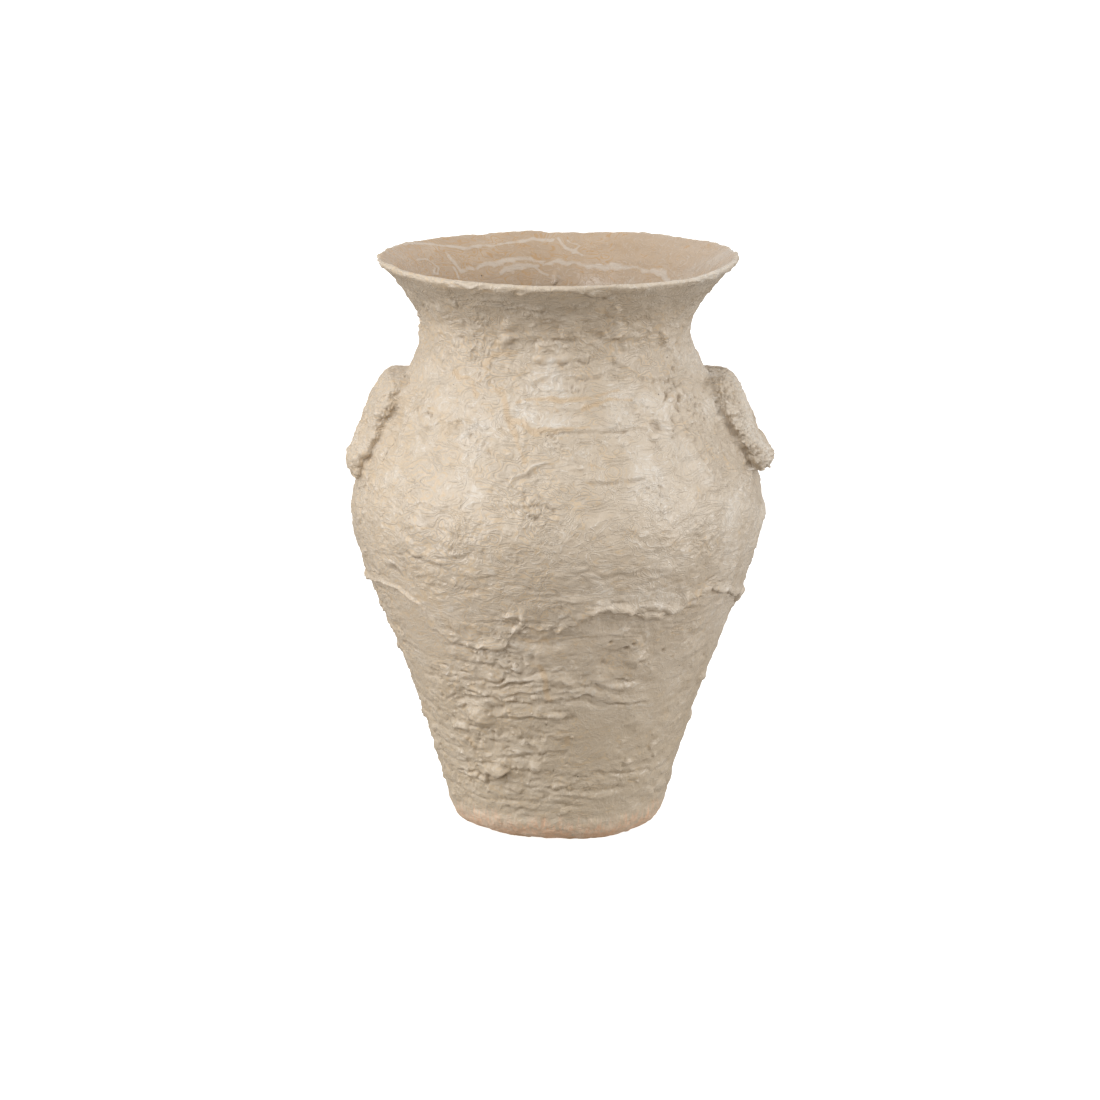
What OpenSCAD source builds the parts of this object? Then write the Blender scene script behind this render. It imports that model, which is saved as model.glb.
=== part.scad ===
// Hand-built ceramic vase: a base slab, walls raised in coils, a flared mouth and two ear lugs.
// Millimetres. The origin is the centre of the foot on the table, +Z is up, the lugs lie on +X and -X.

/* [Foot] */
// Outer radius of the wall just above the rounded foot
foot_r = 75; // [66:0.5:84]
// Radius of the rounded corner under the foot
foot_corner_r = 19; // [14:0.5:21]
// Thickness of the base slab
base_t = 9; // [7:0.5:12]
// Height of the bare slab edge that shows under the foot coil
slab_edge_h = 2.5; // [1.5:0.1:4]
// Radius of the hollow corner where the floor meets the wall inside
floor_fillet_r = 12; // [8:0.5:14]
// Height of the foot coil, up to its seam with the lower wall
foot_coil_h = 30; // [26:0.5:34]

/* [Body] */
// Greatest outer radius of the body
belly_r = 140; // [128:1:152]
// Height of the widest place above the table
belly_z = 220; // [205:1:235]
// Number of coils in the lower wall
lower_coils = 5; // [4:1:5]
// Number of coils in the middle wall
middle_coils = 4; // [3:1:4]
// Height of one coil in the lower and middle walls
coil_pitch = 13; // [12:0.25:14]
// How far each coil swells out of the lower and middle walls
coil_relief = 1.3; // [0.5:0.1:2]
// Height of the keel wall, the band that holds the widest place
keel_wall_h = 38; // [34:1:44]
// Height from the widest place to the seam between keel and shoulder
keel_rise = 7; // [4:0.5:12]
// Height of the lower shoulder wall
lower_shoulder_h = 52; // [44:1:60]

/* [Neck and mouth] */
// Outer radius of the neck at its narrowest
neck_r = 90.8; // [82:0.5:98]
// Height from the widest place to the narrowest place of the neck
neck_rise = 123; // [113:1:138]
// Height of the coil that joins the neck to the shoulder
neck_coil_h = 20; // [14:0.5:26]
// Height from the narrowest place of the neck to the top of the lip
mouth_rise = 47; // [40:1:56]
// Outer radius of the lip
mouth_r = 121.8; // [112:0.5:130]
// Radius of the rounded lip bead
lip_r = 2.6; // [2.2:0.1:3.6]
// Height of the rim coil
rim_coil_h = 8; // [7:0.5:11]

/* [Wall] */
// Wall thickness at the foot
foot_wall_t = 9; // [7:0.5:11]
// Wall thickness at the mouth
mouth_wall_t = 5.2; // [4.6:0.1:6.5]
// How much higher a bevelled seam lies inside the wall than outside
seam_rise = 5; // [3:0.5:7]

/* [Lap strip] */
// Drop from the widest place to the highest place of the strip's lower edge
lap_below_belly = 40; // [34:1:46]
// Depth of the deepest wave in the strip's lower edge
lap_drop = 33; // [20:1:38]
// Height of the strip, from its lower edge to where it feathers out
lap_h = 24; // [16:1:28]
// Thickness of the strip at its lower edge
lap_t = 3.6; // [2:0.1:5]

/* [Ear lugs] */
// How far a lug stands out of the shoulder
lug_out = 16; // [11:0.5:20]
// Height of a lug
lug_h = 68; // [56:1:76]
// Width of a lug along the wall
lug_w = 82; // [70:1:90]
// Drop from the narrowest place of the neck to the top of a lug
lug_drop = 26; // [20:1:32]
// Radius of the crown across a lug's face
lug_crown_r = 90; // [80:1:104]
// Radius of the thumb groove along each side of a lug
thumb_r = 6; // [4.5:0.5:8]

/* [Clay dabs] */
// Half width of a large dab
dab_w = 7.5; // [5:0.5:9]
// How far a large dab stands out of the wall
dab_out = 3.4; // [2:0.1:4.5]

/* [Hidden] */

$fn = 96;

// Glaze and clay colours
cream = [0.79, 0.73, 0.65];
pale_cream = [0.83, 0.78, 0.71];
grey_cream = [0.71, 0.66, 0.58];
ochre_clay = [0.67, 0.52, 0.39];

// Heights of the named places
neck_z = belly_z + neck_rise;
vase_h = neck_z + mouth_rise;
lip_z = vase_h - lip_r;
rim_seam_z = vase_h - rim_coil_h;
lower_seam_z = foot_coil_h + lower_coils * coil_pitch;
middle_seam_z = lower_seam_z + middle_coils * coil_pitch;
keel_z = belly_z + keel_rise;
lap_z = belly_z - lap_below_belly;
belly_seam_z = keel_z - keel_wall_h;
shoulder_seam_z = keel_z + lower_shoulder_h;
neck_low_z = neck_z - neck_coil_h / 2;
neck_high_z = neck_z + neck_coil_h / 2;

// The outline bends between stations of [height, radius, slope]; shares follow the stretch they lie in
knee_shares = [0.71, 0.75];
hip_shares = [0.905, 0.958];
turn_shares = [0.65, 0.634];
foot_slope_share = 0.83;
knee_slope_share = 1.23;
hip_slope_share = 0.8;
turn_slope_share = 1.23;
mouth_slope_share = 2.05;
body_rise = belly_z - foot_corner_r;
body_slope = (belly_r - foot_r) / body_rise;
neck_slope = (neck_r - belly_r) / neck_rise;
mouth_slope = (mouth_r - neck_r) / mouth_rise;
stations = [
    [foot_corner_r, foot_r, body_slope * foot_slope_share],
    [foot_corner_r + body_rise * knee_shares[0],
     foot_r + (belly_r - foot_r) * knee_shares[1], body_slope * knee_slope_share],
    [foot_corner_r + body_rise * hip_shares[0],
     foot_r + (belly_r - foot_r) * hip_shares[1], body_slope * hip_slope_share],
    [belly_z, belly_r, 0],
    [belly_z + neck_rise * turn_shares[0],
     belly_r + (neck_r - belly_r) * turn_shares[1], neck_slope * turn_slope_share],
    [neck_z, neck_r, 0],
    [lip_z, mouth_r, mouth_slope * mouth_slope_share]
];

// Spacing of the points along an outline, along a coil and round the bead of the lip
outline_step = belly_r / 24;
coil_steps = 6;
arc_steps = 10;

// Smooth curve between two stations
function between(a, b, z) =
    let (span = b[0] - a[0], t = (z - a[0]) / span)
    (2 * pow(t, 3) - 3 * pow(t, 2) + 1) * a[1]
    + (pow(t, 3) - 2 * pow(t, 2) + t) * span * a[2]
    + (3 * pow(t, 2) - 2 * pow(t, 3)) * b[1]
    + (pow(t, 3) - pow(t, 2)) * span * b[2];

// Radius of the smooth body above the foot's rounded corner
function body_r(z, i = 0) =
    i < len(stations) - 2 && z > stations[i + 1][0]
    ? body_r(z, i + 1)
    : between(stations[i], stations[i + 1], z);

// Swell of the coils in the lower and middle walls
function coil_swell(z) =
    z <= foot_coil_h || z >= middle_seam_z
    ? 0
    : coil_relief * sqrt(max(0, abs(sin(180 * (z - foot_coil_h) / coil_pitch))));

// Outer radius at any height
function outer_r(z) =
    z < foot_corner_r
    ? foot_r - foot_corner_r + sqrt(pow(foot_corner_r, 2) - pow(foot_corner_r - z, 2))
    : body_r(z) + coil_swell(z);

// The wall thins from foot to mouth, and is measured square to its slope
probe = outline_step / 10;
function wall_t(z) = foot_wall_t + (mouth_wall_t - foot_wall_t) * z / vase_h;
function slope(z) = (body_r(z + probe) - body_r(z - probe)) / (2 * probe);
function inner_r(z) = body_r(z) - wall_t(z) * sqrt(1 + pow(slope(z), 2));

// The hollow corner of the floor
fillet_z = base_t + floor_fillet_r;
floor_r = inner_r(fillet_z) - floor_fillet_r;
function hollow_r(z) =
    z < fillet_z
    ? floor_r + sqrt(pow(floor_fillet_r, 2) - pow(fillet_z - z, 2))
    : inner_r(z);

// Even heights from one place to another, both ends included
function heights(low, high, step) =
    let (count = ceil((high - low) / step))
    [for (i = [0:count]) low + (high - low) * i / count];

// Outline points up the outside, and down the inside
function up_outside(low, high, step) = [for (z = heights(low, high, step)) [outer_r(z), z]];
function down_inside(high, low) = [for (z = heights(-high, -low, outline_step)) [hollow_r(-z), -z]];

// A ring of wall between two bevelled seams
module wall_ring(low, high, step = outline_step) {
    rotate_extrude()
        polygon(concat(up_outside(low, high, step), down_inside(high + seam_rise, low + seam_rise)));
}

// The seams between the walls from foot to rim; a coiled wall has closer points
seams = [foot_coil_h, lower_seam_z, middle_seam_z, belly_seam_z, keel_z, shoulder_seam_z,
    neck_low_z, neck_high_z, rim_seam_z];
function step_above(seam) = seam < middle_seam_z ? coil_pitch / coil_steps : outline_step;

// The body filled solid from foot coil to rim, which gives every applied piece its seat
module body_core() {
    rotate_extrude()
        polygon(concat(
            [[0, foot_coil_h]],
            [for (i = [0:len(seams) - 2])
                let (h = heights(seams[i], seams[i + 1], step_above(seams[i])))
                for (k = [0:len(h) - 2]) [outer_r(h[k]), h[k]]],
            [[outer_r(rim_seam_z), rim_seam_z], [0, rim_seam_z]]
        ));
}

// Base: a flat disc of clay, bevelled where the foot coil is luted round it
module base_slab() {
    color(ochre_clay)
        rotate_extrude()
            polygon(concat(
                [[0, 0]],
                [for (z = heights(0, slab_edge_h, slab_edge_h / 4)) [outer_r(z), z]],
                [[floor_r, base_t], [0, base_t]]
            ));
}

// Foot: the first thick coil, rounded outside and smoothed into the floor inside
module foot_coil() {
    color(grey_cream)
        rotate_extrude()
            polygon(concat(
                [for (z = heights(slab_edge_h, foot_corner_r, foot_corner_r / arc_steps)) [outer_r(z), z]],
                up_outside(foot_corner_r + probe, foot_coil_h, outline_step),
                down_inside(foot_coil_h + seam_rise, fillet_z),
                [for (i = [1:arc_steps]) let (a = 90 * i / arc_steps)
                    [floor_r + floor_fillet_r * cos(a), fillet_z - floor_fillet_r * sin(a)]]
            ));
}

// Lower wall: ring on ring of pinched coils, each one swelling between its seams
module lower_wall() {
    color(grey_cream)
        wall_ring(foot_coil_h, lower_seam_z, step_above(foot_coil_h));
}

// Middle wall: the next coils, raised when the lower ones had stiffened
module middle_wall() {
    color(grey_cream)
        wall_ring(lower_seam_z, middle_seam_z, step_above(lower_seam_z));
}

// Belly: the band behind the lap strip
module belly_wall() {
    color(cream)
        wall_ring(middle_seam_z, belly_seam_z);
}

// Keel: the band that holds the widest place
module keel_wall() {
    color(cream)
        wall_ring(belly_seam_z, keel_z);
}

// Lower shoulder: closes in from the keel, and carries the lower half of the lugs
module lower_shoulder() {
    color(pale_cream)
        wall_ring(keel_z, shoulder_seam_z);
}

// Upper shoulder: closes in to the neck, and carries the upper half of the lugs
module upper_shoulder() {
    color(pale_cream)
        wall_ring(shoulder_seam_z, neck_low_z);
}

// Neck: the coil that joins the shoulder to the flared mouth
module neck_coil() {
    color(cream)
        wall_ring(neck_low_z, neck_high_z);
}

// Mouth: the flare, with a level top edge that carries the rim
module mouth_flare() {
    color(cream)
        rotate_extrude()
            polygon(concat(
                up_outside(neck_high_z, rim_seam_z, outline_step / 2),
                down_inside(rim_seam_z, neck_high_z + seam_rise)
            ));
}

// Rim: the last coil, pinched thin and rounded into a bead that rolls outwards
module rim_coil() {
    bead_r = mouth_r - lip_r;
    color(pale_cream)
        rotate_extrude()
            polygon(concat(
                [[outer_r(rim_seam_z), rim_seam_z]],
                [for (i = [0:arc_steps]) let (a = -30 + 180 * i / arc_steps)
                    [bead_r + lip_r * cos(a), lip_z + lip_r * sin(a)]],
                [[inner_r(rim_seam_z), rim_seam_z]]
            ));
}

// Lap strip: waves of the strip's lower edge as [angle, share of the deepest wave]
lap_wave_shares = [[-180, 0.15], [-162, 0.1], [-145, 0], [-138, 0.18], [-130, 0.74], [-120, 0.98],
    [-108, 0.9], [-101, 0.48], [-90, 0.55], [-83, 0.27], [-75, 0.05], [-66, 0.22], [-56, 0.4], [-48, 0.1],
    [-38, 0], [-20, 0.25], [0, 0.6], [20, 0.8], [42, 0.25], [62, 0.8], [80, 0.95], [98, 0.35],
    [115, 0.15], [132, 0.7], [150, 0.9], [165, 0.4], [180, 0.15]];
// Face of the strip from its feathered top to its thick lower edge, as [height share, thickness share]
lap_face_shares = [[1, 0.08], [0.7, 0.35], [0.35, 0.8], [0.1, 1], [0, 0.5]];
// Heights of the strip's back, which follows the wall from bottom to top
lap_back_shares = [0, 0.35, 0.7, 1];
lap_stations = 60;
// The back has flat facets on a round wall, so their middles touch it and their corners stand off
lap_gap = lap_t / 60;

function lap_wave(angle, i = 0) =
    i < len(lap_wave_shares) - 2 && angle > lap_wave_shares[i + 1][0]
    ? lap_wave(angle, i + 1)
    : let (a = lap_wave_shares[i], b = lap_wave_shares[i + 1], t = (angle - a[0]) / (b[0] - a[0]))
      a[1] + (b[1] - a[1]) * (1 - cos(180 * t)) / 2;

function back_r(z) = (body_r(z) + lap_gap) / cos(180 / lap_stations);
function round_axis(radius, angle, z) = [radius * cos(angle), radius * sin(angle), z];

// Points of one cut through the strip: down its face, then up its back
function lap_cut(angle) =
    let (low = lap_z - lap_drop * lap_wave(angle))
    concat(
        [for (s = lap_face_shares) let (z = low + lap_h * s[0])
            round_axis(back_r(z) + lap_t * s[1], angle, z)],
        [for (s = lap_back_shares) let (z = low + lap_h * s) round_axis(back_r(z), angle, z)]
    );

// Lap strip: a strip of clay wrapped round the seam under the belly, its lower edge left wavy
module lap_strip() {
    side = len(lap_face_shares) + len(lap_back_shares);
    points = [for (k = [0:lap_stations - 1]) for (p = lap_cut(360 * k / lap_stations - 180)) p];
    faces = [for (k = [0:lap_stations - 1]) for (j = [0:side - 1])
        let (next = (k + 1) % lap_stations, up = (j + 1) % side)
        for (half = [0, 1])
            half == 0
            ? [k * side + j, k * side + up, next * side + up]
            : [k * side + j, next * side + up, next * side + j]];
    color(cream)
        polyhedron(points, faces);
}

// Lug outline down its outer edge as [share of its height from the top, share of how far it stands out]
lug_edge_shares = [[0, 0.84], [0.05, 0.98], [0.15, 1.02], [0.35, 1], [0.6, 0.92], [0.76, 0.94],
    [0.86, 0.84], [0.94, 0.5], [1, 0]];
lug_top_z = neck_z - lug_drop;
lug_low_z = lug_top_z - lug_h;
lug_mid_z = lug_top_z - lug_h / 2;
lug_axis_x = body_r(lug_mid_z) + lug_out - lug_crown_r;
groove_y = lug_w / 2;
groove_stand = thumb_r * 0.6;
overrun = lug_h / 4;

// Where the wall lies at a height, that far off the lug's middle plane
function wall_x(z, y) = sqrt(pow(body_r(z), 2) - pow(y, 2));

// A round groove that follows the slope of the shoulder
module thumb_groove(y) {
    top_x = wall_x(lug_top_z, y) + groove_stand;
    low_x = wall_x(lug_low_z, y) + groove_stand;
    lean = atan2(low_x - top_x, -lug_h);
    length = norm([low_x - top_x, lug_h]);
    translate([top_x, y, lug_top_z])
        rotate([0, lean, 0])
            translate([0, 0, -overrun])
                cylinder(h = length + 2 * overrun, r = thumb_r);
}

// Ear lug: a crowned pad of clay, pressed on the shoulder, with a thumb groove along each side
module ear_lug() {
    color(pale_cream)
        difference() {
            intersection() {
                translate([lug_axis_x, 0, 0])
                    rotate_extrude()
                        polygon(concat(
                            [for (s = lug_edge_shares) let (z = lug_top_z - lug_h * s[0])
                                [body_r(z) + lug_out * s[1] - lug_axis_x, z]],
                            [[0, lug_low_z], [0, lug_top_z]]
                        ));
                translate([lug_axis_x, -lug_w / 2, lug_low_z - overrun])
                    cube([lug_crown_r * 2, lug_w, lug_h + 2 * overrun]);
            }
            body_core();
            for (y = [-groove_y, groove_y])
                thumb_groove(y);
        }
}

module left_lug() {
    mirror([1, 0, 0])
        ear_lug();
}

module right_lug() {
    ear_lug();
}

// Dabs as [angle round the vase, share of the height, share of a large dab's size]
dab_shares = [[-95, 0.89, 0.8], [-85, 0.92, 1], [-69, 0.95, 0.7], [-65, 0.915, 0.8], [-109, 0.925, 0.7],
    [-128, 0.87, 0.7], [-40, 0.89, 0.8], [25, 0.88, 0.9], [70, 0.9, 0.8], [112, 0.875, 1], [150, 0.9, 0.7],
    [-63, 0.355, 1], [-121, 0.24, 1], [-116, 0.145, 0.9], [35, 0.3, 1], [95, 0.22, 0.8], [140, 0.33, 0.9]];
dab_sides = 14;
dab_rings = 3;
// A dab's back follows the wall at this distance
dab_gap = dab_w / 30;

// A place on the wall, reached from [angle, z] by going so far in a turned direction, and so far out
function wall_point(angle, z, reach, turn, swell, out) =
    let (h = z + reach * sin(turn) * cos(atan(slope(z))),
         r = body_r(h) + swell + dab_gap,
         a = angle + reach * cos(turn) / r * 180 / PI)
    round_axis(r + out, a, h);

// One pellet: a low dome whose back follows the wall, or the swell of the coils
module clay_dab(angle, z, size) {
    half_w = dab_w * size;
    out = dab_out * size;
    swell = z < middle_seam_z ? coil_relief : 0;
    rings = [for (i = [0:dab_rings - 1]) for (j = [0:dab_sides - 1])
        wall_point(angle, z, half_w * cos(90 * i / dab_rings), 360 * j / dab_sides, swell,
            out * sin(90 * i / dab_rings))];
    back = len(rings);
    top = back + 1;
    last = (dab_rings - 1) * dab_sides;
    bands = [for (i = [0:dab_rings - 2]) for (j = [0:dab_sides - 1])
        let (a = i * dab_sides + j, b = i * dab_sides + (j + 1) % dab_sides)
        for (half = [0, 1])
            half == 0 ? [a, a + dab_sides, b + dab_sides] : [a, b + dab_sides, b]];
    fans = [for (j = [0:dab_sides - 1])
        let (next = (j + 1) % dab_sides)
        for (half = [0, 1])
            half == 0 ? [back, j, next] : [top, last + next, last + j]];
    polyhedron(
        concat(rings, [wall_point(angle, z, 0, 0, swell, 0), wall_point(angle, z, 0, 0, swell, out)]),
        concat(bands, fans)
    );
}

// Clay dabs: pellets of clay pressed on the neck and the lower wall
module clay_dabs() {
    color(pale_cream)
        for (d = dab_shares)
            clay_dab(d[0], vase_h * d[1], d[2]);
}

base_slab();
foot_coil();
lower_wall();
middle_wall();
belly_wall();
keel_wall();
lower_shoulder();
upper_shoulder();
neck_coil();
mouth_flare();
rim_coil();
lap_strip();
left_lug();
right_lug();
clay_dabs();
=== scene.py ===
"""Looks of the hand-built ceramic vase, made piece by piece in the order that the potter raised it."""
import math

import bpy
import numpy as np
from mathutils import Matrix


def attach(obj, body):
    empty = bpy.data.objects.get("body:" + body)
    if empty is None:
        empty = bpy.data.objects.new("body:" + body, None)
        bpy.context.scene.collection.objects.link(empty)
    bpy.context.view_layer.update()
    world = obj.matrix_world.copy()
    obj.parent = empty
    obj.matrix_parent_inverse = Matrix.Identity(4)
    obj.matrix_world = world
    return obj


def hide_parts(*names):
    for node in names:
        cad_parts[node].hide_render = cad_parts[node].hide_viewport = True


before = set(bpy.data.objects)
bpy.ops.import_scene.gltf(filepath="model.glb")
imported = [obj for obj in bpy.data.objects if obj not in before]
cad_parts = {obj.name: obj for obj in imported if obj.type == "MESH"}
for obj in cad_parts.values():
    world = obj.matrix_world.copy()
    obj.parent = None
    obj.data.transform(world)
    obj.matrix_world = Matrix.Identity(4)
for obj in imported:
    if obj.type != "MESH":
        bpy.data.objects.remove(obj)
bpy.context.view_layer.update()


# Base slab: a flat disc of bare stoneware clay, the first thing the potter cut. Its edge shows as
# a thin ochre line under the foot coil, and it carries the outline that every wall is raised to.
MM = .001
VASE_H, FLOOR_T, LIP_R, LIP_OUT = 390.0, 9.0, 2.1, 121.8
FOOT_CORNER_R, FLOOR_CORNER_R = 19.0, 12.0
# The wall's thickness at the foot, and how much of it is gone at the mouth
WALL_T, WALL_THINS = 9.0, 3.8
# The step along the cut, the number of points round the vase, and round figures for the size of its round
CUT_STEP, AROUND = .25, 960
MEAN_R, LEAST_R, MM_PER_DEGREE = 112, 60, 2.1
# Height, radius and slope of the places that the outside curves through
STATIONS = [(19.0, 75.0, .2684), (161.71, 123.75, .3978), (200.9, 137.27, .2587), (220.0, 140.0, 0.0),
            (299.95, 108.81, -.492), (343.0, 90.8, 0.0), (387.4, 121.8, 1.352)]


def wall_r(z):
    """Smooth outer radius at a height, in mm"""
    z = np.asarray(z, float)
    r = np.zeros_like(z)
    for (z0, r0, s0), (z1, r1, s1) in zip(STATIONS, STATIONS[1:]):
        t = (z - z0) / (z1 - z0)
        bend = ((2 * t**3 - 3 * t**2 + 1) * r0 + (t**3 - 2 * t**2 + t) * (z1 - z0) * s0
                + (3 * t**2 - 2 * t**3) * r1 + (t**3 - t**2) * (z1 - z0) * s1)
        r = np.where((z >= z0) | (z0 == FOOT_CORNER_R), bend, r)
    reach = np.sqrt(np.maximum(0, FOOT_CORNER_R**2 - (FOOT_CORNER_R - z)**2))
    return np.where(z < FOOT_CORNER_R, STATIONS[0][1] - FOOT_CORNER_R + reach, r)


def hollow_r(z):
    """Radius inside, where the wall thins from foot to mouth"""
    slope = wall_r(z + .5) - wall_r(z - .5)
    return wall_r(z) - (WALL_T - WALL_THINS * z / VASE_H) * np.sqrt(1 + slope**2)


def clay_line():
    """One cut through the vase from under the foot, up the outside, round the lip and down to the floor. The
    lip's bead takes up where the straight runs stop, a little below it"""
    stop_outside, stop_inside = VASE_H - 8.5, VASE_H - 6.5
    up = np.arange(0, stop_outside, CUT_STEP)
    bead = np.radians(np.arange(-42, 142, 6))
    down = np.arange(stop_inside, FLOOR_T + FLOOR_CORNER_R, -CUT_STEP)
    turn = np.radians(np.arange(0, 90.1, 2))
    floor_r = hollow_r(FLOOR_T + FLOOR_CORNER_R) - FLOOR_CORNER_R
    floor = np.arange(floor_r - 1, 0, -1)
    r = np.concatenate([wall_r(up), LIP_OUT - LIP_R + LIP_R * np.cos(bead), hollow_r(down),
                        floor_r + FLOOR_CORNER_R * np.cos(turn), floor])
    z = np.concatenate([up, VASE_H - LIP_R + LIP_R * np.sin(bead), down,
                        FLOOR_T + FLOOR_CORNER_R - FLOOR_CORNER_R * np.sin(turn), np.full(len(floor), FLOOR_T)])
    run = np.concatenate([[0], np.cumsum(np.hypot(np.diff(r), np.diff(z)))])
    even = np.arange(0, run[-1], CUT_STEP)
    r, z = np.interp(even, run, r), np.interp(even, run, z)
    soft = np.hanning(9) / np.hanning(9).sum()
    for _ in range(2):
        r[4:-4], z[4:-4] = np.convolve(r, soft, "valid"), np.convolve(z, soft, "valid")
    return even, r, z


RUN, LINE_R, LINE_Z = clay_line()
LINE_NR, LINE_NZ = np.gradient(LINE_Z, RUN), -np.gradient(LINE_R, RUN)
LIP_AT = int(np.argmax(LINE_Z))


def run_at(z, inside=False):
    """Distance along the cut to a height outside or inside"""
    if inside:
        return float(np.interp(-z, -LINE_Z[LIP_AT:], RUN[LIP_AT:]))
    return float(np.interp(z, LINE_Z[:LIP_AT], RUN[:LIP_AT]))


def eased(share):
    """A share from 0 to 1 with a smooth start and stop"""
    return share * share * (3 - 2 * share)


def even_places(start, end, step):
    """Places about a step apart along the cut"""
    return np.linspace(start, end, max(2, int(round((end - start) / step)) + 1))


def clay_cut(places):
    """The cut at some places: radius, height, outward direction and skin, which is 1 outside and 0 inside"""
    skin = 1 - np.clip((places - RUN[LIP_AT] + 2) / 5, 0, 1)
    return np.stack([*(np.interp(places, RUN, v) for v in (LINE_R, LINE_Z, LINE_NR, LINE_NZ)), eased(skin)], 1)


def along(table, angle):
    """A value read from a table of angle and value"""
    at, value = np.array(table).T
    return np.interp(angle, at, value)


def turned_from(angle, at):
    """Degrees from a place round the vase, between -180 and 180"""
    return (angle - at + 180) % 360 - 180


def waver(angle, run, size, seed):
    """Seamless soft waves over the wall, from about -1 to 1, that keep hand-made edges from being regular"""
    luck = np.random.default_rng(seed)
    total = np.zeros(np.shape(run))
    for _ in range(6):
        lean, per_mm = luck.uniform(-1.4, 1.4), 2 * math.pi / (size * luck.uniform(.7, 1.6))
        total = total + np.sin(np.radians(angle) * round(math.cos(lean) * per_mm * MEAN_R)
                               + run * math.sin(lean) * per_mm + luck.uniform(0, 6.28))
    return total / 2.4


# Marks pressed or left in the clay: (kind, angle, height, half length, half width, turn, how far out).
# A lump or dent is a soft oval; a lap is a torn edge that hangs over its lower side; a crease is a narrow cut.
# Each section adds the marks that reach its own ring of wall.
MARKS = []
# Longer marks: (kind, half width, how far out, [(angle, height) of the places it passes]). A ridge is a bead.
TRACES = []
# Places that a wet hand smoothed: (angle, height, half length, half height, share of the roughness that went)
SMOOTHED = []
# Places where the wall sways up or down: (from height, to height, table of angle and mm)
SWAYS = []


def smoothed_at(angle, run):
    """Share of the roughness that a wet hand took away"""
    share = np.zeros_like(angle)
    for at, height, long, tall, amount in SMOOTHED:
        u, v = turned_from(angle, at) * MM_PER_DEGREE / long, (run - run_at(height)) / tall
        share = np.maximum(share, amount * np.clip(1.25 * (1 - u * u - v * v), 0, 1))
    return share


def torn_edge(v, edge, under):
    """Profile of a lap: steep at its lower edge with a narrow groove under it, and thinning upwards"""
    return np.where(v > 0, np.clip(v / edge, 0, 1) * np.clip(1 - v, 0, 1) ** 1.3,
                    -under * np.clip(1 - (v / edge + .8) ** 2, 0, 1))


def from_leg(x, y, dx, dy):
    """For places beside a straight leg: the share of the leg at the nearest point, and the distance"""
    t = np.clip((x * dx + y * dy) / (dx * dx + dy * dy), 0, 1)
    return t, np.hypot(x - t * dx, y - t * dy)


def trace_shape(kind, wide, at, runs, angle, run, radius, sideways):
    """The shape from 0 to 1 of a long mark, that fades at both its ends"""
    legs = len(at) - 1
    best, above, gone = np.full(len(run), 1e9), np.zeros(len(run)), np.zeros(len(run))
    for k in range(legs):
        x, y = np.radians(angle - at[k]) * radius + sideways, run - runs[k]
        dx, dy = math.radians(at[k + 1] - at[k]) * radius, runs[k + 1] - runs[k]
        t, away = from_leg(x, y, dx, dy)
        closer = away < best
        best, gone = np.where(closer, away, best), np.where(closer, (k + t) / legs, gone)
        above = np.where(closer, np.sign(y * dx - x * dy), above)
    v, ends = best * above / wide, np.clip(np.minimum(gone, 1 - gone) * 5, 0, 1)
    return ends * (torn_edge(v, 1.6 / wide, .35) if kind == "lap" else np.clip(1 - v * v, 0, 1))


def marks_on(angle, run, radius, skin):
    """How far the hand-made marks move the clay, in mm, at many places at once"""
    lift = np.zeros_like(angle)
    low, high = run.min(), run.max()
    sideways, upwards = 1.5 * waver(angle, run, 13, 1), waver(angle, run, 13, 2)
    for kind, at, height, long, wide, turn, out in MARKS:
        inside = kind.startswith("inner ")
        middle, reach = run_at(height, inside), max(long, wide) + 4
        if middle + reach < low or middle - reach > high:
            continue
        near = np.flatnonzero((np.abs(run - middle) < reach) & ((skin < .5) == inside)
                              & (np.abs(turned_from(angle, at)) < math.degrees(reach / LEAST_R)))
        across = np.radians(turned_from(angle[near], at)) * radius[near] + sideways[near]
        up = (run[near] - middle) * (-1 if inside else 1) + upwards[near]
        c, s = math.cos(math.radians(turn)), math.sin(math.radians(turn))
        u, v = (across * c + up * s) / long, (up * c - across * s) / wide
        oval = np.clip(1 - u * u - v * v, 0, 1)
        if kind.endswith("lump"):
            shape = oval ** .85
        elif kind.endswith("lap"):
            shape = torn_edge(v, 1.9 / wide, .3) * np.clip(1 - u * u, 0, 1)
        elif kind.endswith("crease"):
            shape = np.clip(1 - u * u, 0, 1) ** .7 * np.clip(1 - v * v, 0, 1)
        else:
            shape = oval ** 1.5
        lift[near] += out * shape
    lift *= 1 - smoothed_at(angle, run)
    broken = np.clip(.65 + .9 * waver(angle, run, 17, 3), .1, 1.25)
    for kind, wide, out, path in TRACES:
        at, runs = np.array([(a, run_at(h)) for a, h in path]).T
        margin = 2 * wide + 3
        near = np.flatnonzero((skin > .5) & (run > runs.min() - margin) & (run < runs.max() + margin)
                              & (np.abs(turned_from(angle, at.mean())) < np.ptp(at) / 2 + 5))
        shape = trace_shape(kind, wide, at, runs, angle[near], run[near] + .6 * upwards[near],
                            radius[near], sideways[near])
        lift[near] += out * shape * (broken[near] if kind == "crease" else 1)
    return lift


def feed(tree, node, inputs):
    """Runs sockets, or puts plain values, into a node's inputs"""
    for key, value in inputs.items():
        value = value.socket if isinstance(value, Field) else value
        if isinstance(value, bpy.types.NodeSocket):
            tree.links.new(value, node.inputs[key])
        else:
            node.inputs[key].default_value = value


def lay(tree, kind, inputs=(), out=0, **settings):
    """One node, its settings and what runs into it; gives back what runs out"""
    node = tree.nodes.new(kind)
    for name, value in settings.items():
        setattr(node, name, value)
    feed(tree, node, inputs if isinstance(inputs, dict) else dict(enumerate(inputs)))
    return node.outputs[out]


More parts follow.
